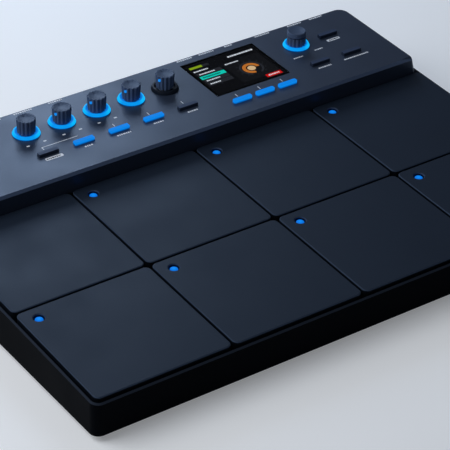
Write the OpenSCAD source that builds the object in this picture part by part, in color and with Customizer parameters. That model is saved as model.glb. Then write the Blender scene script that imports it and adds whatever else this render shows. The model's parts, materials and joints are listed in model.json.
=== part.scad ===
// Electronic percussion pad with eight square rubber pads in two rows,
// a raised control panel with knobs, lit buttons and a colour display,
// and a row of sockets on the back.
// Lengths are in millimetres. The origin is on the table, under the middle of the case.

/* [Pads] */
// Side of each square pad
pad_side = 108; // [102:1:116]
// Thickness of the rubber tile
pad_t = 8; // [6:0.5:10]
// Radius of the pad's corners, seen from above
pad_corner = 4.5; // [2:0.5:8]
// Bevel along the pad's top edge
pad_bevel = 1.2; // [0.5:0.1:2]
// Gap between neighbouring pads
pad_gap = 2; // [1.5:0.5:4]
// Gap between the outer pads and the rim
pad_margin = 2; // [1:0.5:4]
// How far a struck pad sinks
pad_travel = 1; // [0.5:0.1:1.5]

/* [Pad guides] */
// Radius of the studs under each pad
stud_r = 2.5; // [2:0.1:3.5]
// Distance of the studs from the pad's edges
stud_inset = 8; // [5:0.5:12]
// Radial play of a stud in its guide
stud_play = 0.08; // [0.03:0.01:0.2]
// Height of the guide boss under the deck
guide_h = 3; // [2:0.5:5]
// Wall of the guide boss
guide_wall = 2.2; // [1.5:0.1:4]
// Distance of the foam cushion from the pad's edges
cushion_inset = 19; // [18:0.5:30]
// Thickness of the foam cushion
cushion_t = 2.5; // [2:0.1:4]
// Thickness of the force sensor sheet
sensor_t = 0.5; // [0.3:0.1:1]

/* [Pad lights] */
// Distance of the light from the pad's left edge
light_left = 12.7; // [10:0.1:15]
// Distance of the light from the pad's back edge
light_back = 11.5; // [8:0.1:13]
// Radius of the hole in the pad
light_hole_r = 4; // [3.8:0.1:4.4]
// Radius of the hole's flared mouth
light_mouth_r = 4.9; // [4.6:0.1:5.4]
// Depth of the flare
light_mouth_t = 1.4; // [0.8:0.1:2]
// Radius of the light pipe
pipe_r = 3; // [2.4:0.1:3.2]
// Depth of the lens below the pad's top
pipe_sunk = 1.3; // [1.2:0.1:4]
// Width of the flange on the light pipe
pipe_flange = 1.6; // [1:0.1:3]
// Thickness of the flange on the light pipe
pipe_flange_t = 1.2; // [1:0.1:2]

/* [Case] */
// Slope of the pads toward the player, in degrees
deck_tilt = 2.2; // [2:0.1:4]
// Height of the front wall, from its lower edge to the rim
front_h = 27.5; // [26:0.5:40]
// Thickness of the outer walls
wall = 3; // [2.5:0.1:4]
// Thickness of the deck under the pads
deck_t = 3; // [2:0.1:5]
// Width of the rim round the pads
rim_w = 1.5; // [1.3:0.1:2]
// Drop of the rim below the pads' tops
rim_drop = 2.3; // [1.5:0.1:4]
// Bevel on the rim
rim_bevel = 1.2; // [0.5:0.1:1.2]
// Radius of the case's upright corners
case_corner = 7; // [5:0.5:12]
// Thickness of the wall between the pads and the electronics
bulkhead_t = 4; // [3:0.5:5]
// Thickness of the ledge that carries the control panel
ledge_t = 4; // [3:0.5:6]
// Width of the ledge at each side
ledge_w = 20; // [18:0.5:24]
// Width of the ledge at the back
ledge_back = 7; // [6:0.5:10]
// Thickness of the steel base plate
base_t = 2; // [1:0.1:3]
// Play between the base plate and the walls
base_play = 0.4; // [0.2:0.1:1]
// Height of the rubber feet
foot_h = 5; // [4:0.5:8]
// Radius of the rubber feet
foot_r = 10; // [7:0.5:14]
// Distance of the feet from the case's edges
foot_inset = 26; // [20:1:40]
// Radius of the stems that hold the feet
foot_stem_r = 3; // [2:0.1:4]

/* [Stand mount] */
// Spacing of the threaded inserts from left to right
stand_x = 100; // [60:1:160]
// Spacing of the threaded inserts from front to back
stand_y = 80; // [50:1:120]
// Radius of the inserts' threaded hole
stand_bore_r = 2.5; // [2:0.1:4]
// Wall of the inserts
insert_wall = 1.5; // [1:0.1:3]
// Length of the inserts above the base plate
insert_l = 6; // [4:0.5:7]

/* [Control panel] */
// Depth of the panel from front to back
panel_d = 97; // [94:0.5:110]
// Distance of the panel's ends from the case's side walls
panel_end = 5.5; // [3.5:0.5:8]
// Height of the panel's top above the pads
panel_rise = 15; // [13:0.5:20]
// Thickness of the panel's top
panel_t = 2.5; // [2:0.1:3]
// Thickness of the panel's upright walls
panel_wall = 2.5; // [2:0.1:3]
// Gap between the back pads and the panel's front
panel_gap = 0.8; // [0.5:0.1:2]
// How far the panel's ends lean inward at the top
panel_lean = 4.5; // [0:0.5:6]
// Radius along the panel's end edges
panel_round = 4; // [2:0.5:5]
// Depth of the bevel along the panel's front
front_bevel_y = 1; // [0.5:0.1:2]
// Height of the bevel along the panel's front
front_bevel_z = 2.8; // [1:0.1:4]
// Radius of the panel's back corners
panel_corner = 9; // [6:0.5:12]

/* [Knobs] */
// Radius of the knobs
knob_r = 7.7; // [6:0.1:8]
// Height of the knobs' tops above the panel
knob_top = 14; // [11:0.5:18]
// Gap between the panel and the knobs
knob_lift = 2.1; // [1.2:0.1:3]
// Number of flutes round a knob
knob_flutes = 14; // [8:1:20]
// Spacing of the five knobs on the left
knob_pitch = 31.2; // [28:0.1:32]
// Place of the first knob, right of the middle
knob_first_x = -108.6; // [-112:0.1:-100]
// Distance of the knobs behind the panel's front
knob_row = 65.1; // [60:0.1:68]
// Place of the encoder knob, right of the middle
encoder_x = 142.8; // [140:0.1:146]
// Radius of the potentiometer shafts
shaft_r = 3; // [2.5:0.1:3.2]
// Radial play of a shaft in its bushing
shaft_play = 0.05; // [0.02:0.01:0.1]
// Outer radius of the light rings
ring_r = 11; // [10.4:0.1:12]
// Height of the light rings above the panel
ring_h = 2.7; // [1.4:0.1:3.4]
// Radius of the light rings' spigot
spigot_r = 9.2; // [8.8:0.1:9.6]

/* [Buttons] */
// Length of the buttons
button_l = 17; // [14:0.5:18]
// Width of the buttons
button_w = 4.2; // [3.4:0.1:6]
// Height of the buttons above the panel
button_h = 2.6; // [1.5:0.1:3.4]
// Gap round each button
button_gap = 0.25; // [0.2:0.05:0.5]
// How far a button moves
button_travel = 0.7; // [0.4:0.1:1]
// Distance of the button row behind the panel's front
button_row = 32.3; // [30:0.1:35]
// Place of the last column of buttons, right of the middle
menu_x = 174; // [171:0.1:176]
// Spacing of the keys under the display
soft_pitch = 21.5; // [20:0.1:23]
// Distance of the keys under the display behind the panel's front
soft_row = 18.4; // [17:0.1:21]

/* [Display] */
// Width of the display window
window_w = 69.5; // [62:0.5:71]
// Depth of the display window
window_d = 54.4; // [48:0.2:55]
// Place of the display's middle, right of the middle
window_x = 79.3; // [78:0.1:81]
// Distance of the display's middle ahead of the panel's back
window_row = 37.2; // [36.4:0.2:39]
// Thickness of the display window
window_t = 1.5; // [1:0.1:1.6]
// Ledge that carries the window
window_ledge = 2; // [1.5:0.1:3]
// Play round the window
window_play = 0.15; // [0.1:0.05:0.3]

/* [Boards] */
// Thickness of the circuit boards
board_t = 1.6; // [1:0.1:2]
// Gap between the panel's top and its circuit board
panel_board_gap = 7.5; // [7.5:0.1:9]
// Gap between the studs of a struck pad and the main board
main_board_clear = 2.5; // [1.5:0.5:3.5]
// Width of the main board
main_board_w = 190; // [180:1:195]
// Depth of the main board
main_board_d = 68; // [62:1:70]
// Radius of the screw posts
post_r = 4; // [3.5:0.1:5]
// Radius of the case screws
screw_r = 1.5; // [1.2:0.1:2]
// Radius of the case screws' heads
screw_head_r = 2.8; // [2.4:0.1:3.4]
// Thickness of the screws' heads
screw_head_t = 1.8; // [1:0.1:2.5]
// Length of the case screws' threads above the part that they hold
screw_grip = 8; // [5:0.5:9]
// Radius of the board screws
board_screw_r = 1.25; // [1:0.05:1.5]
// Width of the ribbon cable
ribbon_w = 24; // [15:1:28]
// Thickness of the ribbon cable
ribbon_t = 0.8; // [0.6:0.1:1.2]

/* [Back sockets] */
// Height of the sockets' middle below the pads' tops
socket_drop = 22; // [21:0.5:24]
// Thickness of the steel socket plate
plate_t = 1.5; // [1:0.1:2]
// Height of the window in the back wall
back_window_h = 22; // [20:0.5:23]
// Overlap of the socket plate behind the back wall
plate_lap = 3; // [2:0.5:4]
// Radius of a jack socket's bore
jack_bore_r = 3.25; // [3.2:0.05:3.5]
// Depth of a jack socket's bore
jack_depth = 26; // [20:0.5:28]
// Radius of a jack socket's threaded neck
jack_neck_r = 4.7; // [4.4:0.1:5]
// Width of a jack socket's body
jack_w = 16; // [14:0.5:18]
// Height of a jack socket's body
jack_h = 18; // [14:0.5:18]
// Radius of the power button
power_r = 4; // [3:0.1:4.5]
// How far the power button moves
power_travel = 2; // [1:0.1:3]

/* [Hidden] */
$fn = 64;
clear = 0.1;
over = 1;
far = 600;

pad_cols = 4;
pad_rows = 2;
pad_pitch = pad_side + pad_gap;
pad_block_w = pad_cols * pad_pitch - pad_gap;
pad_block_d = pad_rows * pad_pitch - pad_gap;
pads = [for (row = [0.5, -0.5]) for (col = [0:pad_cols - 1])
    [(col - (pad_cols - 1) / 2) * pad_pitch, row * pad_pitch]];
stud_reach = pad_side / 2 - stud_inset;
studs = [[stud_reach, 0], [-stud_reach, 0], [0, stud_reach], [0, -stud_reach]];
cushion_side = pad_side - 2 * cushion_inset;
light_place = [light_left - pad_side / 2, pad_side / 2 - light_back];

// Heights in the deck's own frame, where the pads' tops are at 0
tray_z = -pad_t - cushion_t - sensor_t;
deck_under = tray_z - deck_t;
guide_end = deck_under - guide_h;
stud_tail = 0.5;
stud_end = guide_end - stud_tail;
seat_z = -rim_drop;
ledge_under = seat_z - ledge_t;
panel_under = panel_rise - panel_t;
panel_board_top = panel_under - panel_board_gap;
panel_board_under = panel_board_top - board_t;
main_board_top = stud_end - pad_travel - main_board_clear;
main_board_gap = deck_under - main_board_top;
main_board_under = main_board_top - board_t;

// Plan of the case in the deck's own frame, with y = 0 between the rows of pads
front_reach = pad_block_d / 2 + pad_margin + rim_w;
panel_front = pad_block_d / 2 + panel_gap;
panel_rear = panel_front + panel_d;
panel_inset = 0.7;
rear_reach = panel_rear + panel_inset;
case_w = pad_block_w + 2 * (pad_margin + rim_w);
panel_w = case_w - 2 * panel_end;
case_l = front_reach + rear_reach;
case_mid = (rear_reach - front_reach) / 2;
bulkhead_rear = panel_front + bulkhead_t;
opening_rear = rear_reach - ledge_back;
back_inner = rear_reach - wall;

// Place of the deck's frame above the table
deck_z = foot_h + front_h + rim_drop + front_reach * sin(deck_tilt);
rear_fall = (deck_z - foot_h + rear_reach * sin(deck_tilt)) / cos(deck_tilt);
front_edge = -front_reach * cos(deck_tilt) + (rim_drop + rim_bevel) * sin(deck_tilt);
rear_edge = rear_reach * cos(deck_tilt) + rear_fall * sin(deck_tilt);
deck_y = -(front_edge + rear_edge) / 2;
base_top = foot_h + base_t;

// Screw posts between the base plate and the case
post_gap = 3;
post_inset = foot_inset + foot_r + screw_head_r + post_gap;
front_post_inset = 27.5;
mid_post_y = 18;
ledge_post_inset = 13.5;
post_x = case_w / 2 - post_inset;
ledge_post_x = case_w / 2 - ledge_post_inset;
deck_posts = [for (x = [-post_x, 0, post_x]) for (y = [front_post_inset - front_reach, mid_post_y]) [x, y]];
ledge_posts = [for (x = [-ledge_post_x, ledge_post_x]) [x, (panel_front + panel_rear) / 2]];
feet = [for (x = [-1, 1]) for (y = [-1, 1])
    [x * (case_w / 2 - foot_inset), y * (case_l / 2 - foot_inset)]];
inserts = [for (x = [-1, 1]) for (y = [-1, 1]) [x * stand_x / 2, y * stand_y / 2]];
insert_r = stand_bore_r + insert_wall;
insert_flange = 1.5;

// Fastenings of the control panel and the boards
panel_boss_inset = 8.5;
panel_boss_margin = 9.5;
panel_bosses = [for (x = [-1, 1]) for (y = [panel_front + panel_boss_margin, panel_rear - panel_boss_margin])
    [x * (panel_w / 2 - panel_boss_inset), y]];
board_boss_r = 3;
board_edge = 6;
board_bosses = [[-125, 47], [-125, 83], [0, 83], [31.5, 47], [128, 47], [188, 83]];
board_head_r = 2.3;
board_head_t = 1.5;
board_grip = 5;
panel_board_left = board_bosses[0][0] - board_edge;
panel_board_right = board_bosses[len(board_bosses) - 1][0] + board_edge;
panel_board_margin = 8;
panel_board_front = panel_front + panel_board_margin;
panel_board_rear = panel_rear - panel_board_margin;
main_board_shift = 9;
main_board_y = pad_pitch / 2 + main_board_shift;
main_boss_x = 10;
main_boss_y = 8;
main_bosses = [for (x = [-1, 1]) for (y = [-1, 1])
    [x * (main_board_w / 2 - main_boss_x), main_board_y + y * (main_board_d / 2 - main_boss_y)]];

// Controls on the panel
knob_y = panel_front + knob_row;
knobs = concat([for (i = [0:4]) [knob_first_x + i * knob_pitch, knob_y]], [[encoder_x, knob_y]]);
encoder = len(knobs) - 1;
button_y = panel_front + button_row;
soft_y = panel_front + soft_row;
soft_shift = 0.3;
soft_x = window_x + soft_shift;
main_buttons = [for (i = [0:4]) [knob_first_x + i * knob_pitch, button_y]];
soft_keys = [for (i = [-1:1]) [soft_x + i * soft_pitch, soft_y]];
menu_buttons = [[menu_x, knob_y], [encoder_x, button_y], [menu_x, button_y]];
buttons = concat(main_buttons, soft_keys, menu_buttons);
button_corner = 0.8;
button_crown = 4;
button_lip = 0.8;
button_lip_t = 1;
button_rest_gap = 0.2;
button_lip_top = panel_under - button_rest_gap;
button_stem_r = 1.5;
switch_side = 6;
switch_h = 3.4;
switch_top = panel_board_top + switch_h;
stem_rest_gap = 0.3;
stem_end = switch_top + button_travel + stem_rest_gap;

knob_base = panel_rise + knob_lift;
knob_end = panel_rise + knob_top;
knob_chamfer = 0.5;
flute_r = 1.1;
flute_shift = 0.6;
flute_reach = knob_r + flute_shift;
knob_crown = 3;
shaft_top = knob_end - knob_crown;
flat_cut = 0.8;
shaft_flat = shaft_r - flat_cut;
shaft_fit = 0.03;
pot_side = 10;
pot_h = 5.8;
pot_top = panel_board_top + pot_h;
neck_wall = 1.6;
neck_r = shaft_r + neck_wall;
neck_sunk = 0.5;
neck_top = panel_rise - neck_sunk;
shaft_floor = 1.5;
shaft_end = panel_board_top + shaft_floor;
ring_gap = 0.6;
ring_bore = knob_r + ring_gap;
spigot_gap = 1;
spigot_bore = neck_r + spigot_gap;
ring_shoulder = 0.6;
ring_slope = 1.1;

window_y = panel_rear - window_row;
module_margin = 1;
module_gap = 0.1;

// Sockets along the back, from left to right as the player sees them
jack_x = [52.5, 73.5, 95.5, 128, 160, 182];
usb_x = -67;
inlet_x = -96;
power_x = -122;
plate_out = back_inner;
plate_in = plate_out - plate_t;
window_left = -134;
window_right = 194;
plate_end_lap = 9;
plate_left = window_left - plate_end_lap;
plate_right = window_right + plate_end_lap;
socket_z = -socket_drop;
neck_proud = 2.4;
jack_mouth = plate_out + neck_proud;
jack_end_wall = 1.9;
jack_body_d = jack_depth + jack_end_wall - neck_proud - plate_t;
neck_play = 0.2;
nut_r = 7.4;
nut_t = 2;
jack_board_top = socket_z - jack_h / 2;
jack_board_over = 2;
jack_board_gap = 0.5;
jack_board_front = plate_in - jack_body_d - jack_board_over;
jack_board_rear = plate_in - jack_board_gap;
plate_screw_inset = 4;
plate_screw_z = 6;
plate_screws = [for (x = [plate_left + plate_screw_inset, plate_right - plate_screw_inset])
    for (z = [-plate_screw_z, plate_screw_z]) [x, socket_z + z]];
screw_tip = 0.5;
thread_play = 0.05;
plate_grip = 2;
usb_w = 9.4;
usb_h = 3.6;
usb_d = 9;
usb_skin = 0.5;
usb_bracket_t = 2;
usb_proud = 0.5;
inlet_w = 11;
inlet_d = 13;
inlet_neck_r = 4.4;
inlet_bore_r = 2.9;
inlet_pin_r = 1;
inlet_depth = 10;
inlet_proud = 1;
switch_w = 14;
switch_d = 16;
power_play = 0.1;
power_proud = 2.6;
power_l = 9;

// Ribbon cable between the two boards
plug_w = ribbon_w + 4;
plug_d = 6;
plug_h = 3;
ribbon_rear = panel_board_front + plug_d / 2;
plug_margin = 4;
ribbon_front = main_board_y + main_board_d / 2 - plug_margin;
ribbon_low = main_board_top + plug_h / 2;
chips = [[-45, -8, 28], [8, 4, 22], [52, -6, 16]];
chip_t = 2;

lit = "#1590f5";
unlit = "#222831";
button_tints = [unlit, lit, lit, lit, unlit];

// Places its children in the sloping frame of the pads and the panel
module on_deck() {
    translate([0, deck_y, deck_z]) rotate([deck_tilt, 0, 0]) children();
}

// Point on the table plan that lies under a point of the deck's plan
function under_deck(p) = [p[0], deck_y + p[1] * cos(deck_tilt)];

// Rectangle with round corners, about its middle
module round_rect(w, d, r) {
    square([w - 2 * r, d], center = true);
    square([w, d - 2 * r], center = true);
    for (x = [-1, 1], y = [-1, 1])
        translate([x * (w / 2 - r), y * (d / 2 - r)]) circle(r);
}

// Slab from z = -h to 0 with round upright corners and a bevel c round its top
module bevelled_slab(w, d, h, r, c) {
    translate([0, 0, -h]) linear_extrude(h - c) round_rect(w, d, r);
    rotate([90, 0, 0]) linear_extrude(d - 2 * r, center = true) bevel_section(w, c);
    rotate([90, 0, 90]) linear_extrude(w - 2 * r, center = true) bevel_section(d, c);
    for (x = [-1, 1], y = [-1, 1])
        translate([x * (w / 2 - r), y * (d / 2 - r), -c]) cylinder(h = c, r1 = r, r2 = r - c);
}

module bevel_section(w, c) {
    polygon([[-w / 2, -c], [w / 2, -c], [w / 2 - c, 0], [-w / 2 + c, 0]]);
}

// Block from one corner to the opposite corner
module block(from, to) {
    translate(from) cube(to - from);
}

// Cylinder that points to the back, from y0 to y1
module back_rod(r, x, z, y0, y1) {
    translate([x, y1, z]) rotate([90, 0, 0]) cylinder(h = y1 - y0, r = r);
}

// Everything above a level of the table
module above(level) {
    translate([-far / 2, -far / 2, level]) cube(far);
}

module slice(low, high) {
    translate([-far / 2, -far / 2, low]) cube([far, far, high - low]);
}

// Plan of the case, inset from its outer walls
module case_plan(inset) {
    translate([0, case_mid]) round_rect(case_w - 2 * inset, case_l - 2 * inset, case_corner - inset);
}

module case_shell() {
    difference() {
        translate([0, case_mid, seat_z])
            bevelled_slab(case_w, case_l, rear_fall + over, case_corner, rim_bevel);
        pad_tray();
        translate([0, 0, -far]) linear_extrude(far + deck_under) case_plan(wall);
        block([-case_w / 2 + wall, bulkhead_rear, deck_under - over],
            [case_w / 2 - wall, back_inner, ledge_under]);
        block([-case_w / 2 + ledge_w, bulkhead_rear, ledge_under - over],
            [case_w / 2 - ledge_w, opening_rear, over]);
        block([window_left, back_inner - over, socket_z - back_window_h / 2],
            [window_right, rear_reach + over, socket_z + back_window_h / 2]);
        for (p = plate_screws)
            back_rod(board_screw_r, p[0], p[1], back_inner - over, back_inner + plate_grip);
        for (p = panel_bosses)
            translate([p[0], p[1], ledge_under - over])
                cylinder(h = ledge_t + 2 * over, r = screw_r + clear);
    }
}

// Recess that holds the pads
module pad_tray() {
    tray_front = -front_reach + rim_w;
    tray_d = panel_front - tray_front;
    translate([0, tray_front + tray_d / 2, tray_z])
        linear_extrude(far)
            round_rect(case_w - 2 * rim_w, tray_d, case_corner - rim_w);
}

module guide_bosses() {
    for (p = pads, s = studs)
        translate([p[0] + s[0], p[1] + s[1], guide_end])
            cylinder(h = guide_h + deck_t / 2, r = stud_r + guide_wall);
    for (p = main_bosses)
        translate([p[0], p[1], main_board_top])
            cylinder(h = main_board_gap + deck_t / 2, r = board_boss_r);
}

module deck_bores() {
    for (p = pads) {
        for (s = studs)
            translate([p[0] + s[0], p[1] + s[1], guide_end - over])
                cylinder(h = guide_h + deck_t + 2 * over, r = stud_r + stud_play);
        translate([p[0] + light_place[0], p[1] + light_place[1], deck_under - over])
            cylinder(h = deck_t + 2 * over, r = pipe_r + clear);
    }
    for (p = main_bosses)
        translate([p[0], p[1], main_board_top - over])
            cylinder(h = board_grip + over, r = board_screw_r);
}

// Upright posts over the base plate, up to a height of the deck's frame
module screw_posts(places, top) {
    intersection() {
        for (p = places)
            translate(concat(under_deck(p), base_top)) cylinder(h = far / 2, r = post_r);
        on_deck() translate([-far / 2, -far / 2, top - far]) cube(far);
    }
}

module upper_case() {
    color("#14171c") difference() {
        union() {
            intersection() {
                on_deck() case_shell();
                above(foot_h);
            }
            on_deck() guide_bosses();
            screw_posts(deck_posts, tray_z - deck_t / 2);
            screw_posts(ledge_posts, seat_z - ledge_t / 2);
        }
        on_deck() deck_bores();
        for (p = concat(deck_posts, ledge_posts))
            translate(concat(under_deck(p), base_top - over)) cylinder(h = screw_grip + over, r = screw_r);
    }
}

module base_plate() {
    color("#3a3d42") difference() {
        intersection() {
            on_deck() translate([0, 0, -far / 2]) linear_extrude(far) case_plan(wall + base_play);
            slice(foot_h, base_top);
        }
        for (p = concat(deck_posts, ledge_posts))
            translate(concat(under_deck(p), foot_h - over))
                cylinder(h = base_t + 2 * over, r = screw_r + clear);
        for (p = feet)
            translate(concat(p, foot_h - over)) cylinder(h = base_t + 2 * over, r = foot_stem_r + clear);
        for (p = inserts)
            translate(concat(p, foot_h - over)) cylinder(h = base_t + 2 * over, r = insert_r + clear);
    }
}

module rubber_feet() {
    foot_taper = 1.5;
    stem_over = 1;
    color("#0c0c0d") for (p = feet) translate(p) {
        cylinder(h = foot_h, r1 = foot_r - foot_taper, r2 = foot_r);
        translate([0, 0, foot_h]) cylinder(h = base_t + stem_over, r = foot_stem_r);
    }
}

// Screw that points up from the origin, with its head below
module screw(r, head_r, head_t, l) {
    translate([0, 0, -head_t]) cylinder(h = head_t, r = head_r);
    cylinder(h = l, r = r);
}

module case_screws() {
    color("#1d1f22") {
        for (p = concat(deck_posts, ledge_posts))
            translate(concat(under_deck(p), foot_h))
                screw(screw_r - thread_play, screw_head_r, screw_head_t, base_t + screw_grip - screw_tip);
        on_deck() for (p = panel_bosses)
            translate([p[0], p[1], ledge_under])
                screw(screw_r - thread_play, screw_head_r, screw_head_t, ledge_t + screw_grip - screw_tip);
    }
}

module board_screws() {
    r = board_screw_r - thread_play;
    l = board_t + board_grip - screw_tip;
    color("#b9bcc0") on_deck() {
        for (p = board_bosses)
            translate([p[0], panel_front + p[1], panel_board_under]) screw(r, board_head_r, board_head_t, l);
        for (p = main_bosses)
            translate([p[0], p[1], main_board_under]) screw(r, board_head_r, board_head_t, l);
        for (p = plate_screws)
            translate([p[0], plate_in, p[1]]) rotate([-90, 0, 0])
                screw(r, board_head_r, board_head_t, plate_t + plate_grip - screw_tip);
    }
}

module stand_inserts() {
    color("#b48a3c") for (p = inserts) translate(concat(p, foot_h)) difference() {
        union() {
            cylinder(h = base_t + insert_l, r = insert_r);
            translate([0, 0, -insert_flange]) cylinder(h = insert_flange, r = insert_r + insert_flange);
        }
        translate([0, 0, -insert_flange - over])
            cylinder(h = base_t + insert_l + insert_flange + 2 * over, r = stand_bore_r);
    }
}

// Outline of the panel's end, seen from the front, up to a height
module panel_section(half_base, lean, round, low, high) {
    half_top = half_base - lean;
    polygon([[-half_base, low], [half_base, low], [half_top, high - round],
        [half_top - round, high], [-half_top + round, high], [-half_top, high - round]]);
    for (x = [-1, 1]) translate([x * (half_top - round), high - round]) circle(round);
}

// Outline of the panel seen from the end, with its front bevel and round back edge
module panel_profile() {
    back_round = 2;
    polygon([[panel_front, seat_z], [panel_rear, seat_z], [panel_rear, panel_rise - back_round],
        [panel_rear - back_round, panel_rise], [panel_front + front_bevel_y, panel_rise],
        [panel_front, panel_rise - front_bevel_z]]);
    translate([panel_rear - back_round, panel_rise - back_round]) circle(back_round);
}

module panel_body() {
    front_corner = 3;
    intersection() {
        translate([0, panel_rear + over, 0]) rotate([90, 0, 0])
            linear_extrude(panel_d + 2 * over)
                panel_section(panel_w / 2, panel_lean, panel_round, seat_z, panel_rise);
        rotate([90, 0, 90]) linear_extrude(panel_w, center = true) panel_profile();
        translate([0, 0, seat_z - over]) linear_extrude(panel_rise - seat_z + 2 * over) {
            translate([0, (panel_front + panel_rear) / 2])
                round_rect(panel_w, panel_d, panel_corner);
            translate([0, panel_front + panel_d / 4])
                round_rect(panel_w, panel_d / 2, front_corner);
        }
    }
}

module panel_hollow() {
    half = panel_w / 2 - panel_wall;
    half_top = half - panel_lean - panel_wall;
    translate([0, panel_rear - panel_wall, 0]) rotate([90, 0, 0])
        linear_extrude(panel_d - 2 * panel_wall)
            polygon([[-half, seat_z - over], [half, seat_z - over],
                [half_top, panel_under], [-half_top, panel_under]]);
}

module control_panel() {
    color("#3d4656") on_deck() difference() {
        union() {
            difference() {
                panel_body();
                panel_hollow();
            }
            for (p = panel_bosses)
                translate([p[0], p[1], seat_z]) cylinder(h = panel_under - seat_z + over, r = post_r);
            for (p = board_bosses)
                translate([p[0], panel_front + p[1], panel_board_top])
                    cylinder(h = panel_board_gap + over, r = board_boss_r);
        }
        for (p = panel_bosses)
            translate([p[0], p[1], seat_z - over]) cylinder(h = screw_grip + over, r = screw_r);
        for (p = board_bosses)
            translate([p[0], panel_front + p[1], panel_board_top - over])
                cylinder(h = board_grip + over, r = board_screw_r);
        for (p = knobs)
            translate([p[0], p[1], panel_under - over])
                cylinder(h = panel_t + 2 * over, r = spigot_r + clear);
        for (p = buttons)
            translate([p[0], p[1], panel_under - over])
                linear_extrude(panel_t + 2 * over)
                    round_rect(button_l + 2 * button_gap, button_w + 2 * button_gap,
                        button_corner + button_gap);
        translate([window_x, window_y, panel_rise - window_t])
            linear_extrude(window_t + over)
                square([window_w + 2 * window_play, window_d + 2 * window_play], center = true);
        translate([window_x, window_y, panel_under - over])
            linear_extrude(panel_t)
                square([window_w - 2 * window_ledge, window_d - 2 * window_ledge], center = true);
    }
}

module display_window() {
    color("#05070a") on_deck() translate([window_x, window_y, panel_rise - window_t])
        linear_extrude(window_t) square([window_w, window_d], center = true);
}

module display_module() {
    w = window_w - 2 * window_ledge + 2 * module_margin;
    d = window_d - 2 * window_ledge + 2 * module_margin;
    color("#20242a") on_deck() translate([window_x, window_y, panel_board_top])
        linear_extrude(panel_board_gap - module_gap) square([w, d], center = true);
}

module light_rings() {
    top = panel_rise + ring_h;
    shelf = panel_rise + ring_shoulder;
    color("#1590f5") on_deck() for (p = knobs) translate([p[0], p[1], 0]) rotate_extrude()
        polygon([[spigot_bore, panel_under], [spigot_r, panel_under], [spigot_r, panel_rise],
            [ring_r, panel_rise], [ring_r, shelf], [ring_r - ring_slope, top],
            [ring_bore, top], [ring_bore, shelf], [spigot_bore, shelf]]);
}

module pot_bodies() {
    color("#8a8d90") on_deck() for (p = knobs) translate([p[0], p[1], 0]) difference() {
        union() {
            translate([0, 0, panel_board_top]) linear_extrude(pot_h) square(pot_side, center = true);
            translate([0, 0, pot_top]) cylinder(h = neck_top - pot_top, r = neck_r);
        }
        translate([0, 0, shaft_end - clear]) cylinder(h = far, r = shaft_r + shaft_play);
    }
}

// Round shaft with a flat on the part that the knob sits on
module flatted(r, flat, low, high, flat_from) {
    difference() {
        translate([0, 0, low]) cylinder(h = high - low, r = r);
        block([flat, -r - over, flat_from], [r + over, r + over, high + over]);
    }
}

module shaft_at(p) {
    color("#9a9ca0") on_deck() translate([p[0], p[1], 0])
        flatted(shaft_r, shaft_flat, shaft_end, shaft_top, knob_base + over);
}

module knob_bore() {
    flat_from = knob_base + over;
    flatted(shaft_r + shaft_fit, shaft_flat + shaft_fit, knob_base - over, shaft_top + clear, flat_from);
}

module knob_at(p) {
    flute_top = knob_end - knob_crown;
    notch_w = 1.2;
    notch_t = 1.3;
    notch_l = 4.5;
    color("#2a323d") on_deck() translate([p[0], p[1], 0]) difference() {
        union() {
            translate([0, 0, knob_base]) cylinder(h = knob_end - knob_base - knob_chamfer, r = knob_r);
            translate([0, 0, knob_end - knob_chamfer])
                cylinder(h = knob_chamfer, r1 = knob_r, r2 = knob_r - knob_chamfer);
        }
        for (i = [0:knob_flutes - 1])
            rotate(i * 360 / knob_flutes) translate([flute_reach, 0, knob_base - over])
                cylinder(h = flute_top - knob_base + over, r = flute_r);
        block([-notch_w / 2, knob_r - notch_l, knob_end - notch_t],
            [notch_w / 2, knob_r + over, knob_end + over]);
        knob_bore();
    }
}

// The endless encoder's knob has a smooth cap over a groove
module encoder_knob() {
    p = knobs[encoder];
    cap_h = 4;
    groove_h = 0.8;
    groove_t = 0.7;
    flute_top = knob_end - cap_h - groove_h;
    color("#2a323d") on_deck() translate([p[0], p[1], 0]) difference() {
        rotate_extrude() polygon([[0, knob_base], [knob_r, knob_base], [knob_r, flute_top],
            [knob_r - groove_t, flute_top], [knob_r - groove_t, flute_top + groove_h],
            [knob_r, flute_top + groove_h], [knob_r, knob_end - knob_chamfer],
            [knob_r - knob_chamfer, knob_end], [0, knob_end]]);
        for (i = [0:knob_flutes - 1])
            rotate(i * 360 / knob_flutes) translate([flute_reach, 0, knob_base - over])
                cylinder(h = flute_top - knob_base + over, r = flute_r);
        knob_bore();
    }
}

module tact_switches() {
    plunger_r = 1.7;
    plunger_h = 0.2;
    color("#17181a") on_deck() for (p = buttons) translate([p[0], p[1], panel_board_top]) {
        linear_extrude(switch_h - plunger_h) square(switch_side, center = true);
        translate([0, 0, switch_h - plunger_h]) cylinder(h = plunger_h, r = plunger_r);
    }
}

module button_at(p, tint) {
    top = panel_rise + button_h;
    color(tint) on_deck() translate([p[0], p[1], 0]) {
        intersection() {
            translate([0, 0, button_lip_top])
                linear_extrude(top - button_lip_top) round_rect(button_l, button_w, button_corner);
            translate([0, 0, top - button_crown]) rotate([0, 90, 0])
                cylinder(h = button_l + 2 * over, r = button_crown, center = true);
        }
        translate([0, 0, button_lip_top - button_lip_t])
            linear_extrude(button_lip_t)
                round_rect(button_l + 2 * button_lip, button_w + 2 * button_lip, button_corner);
        translate([0, 0, stem_end])
            cylinder(h = button_lip_top - button_lip_t - stem_end, r = button_stem_r);
    }
}

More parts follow.
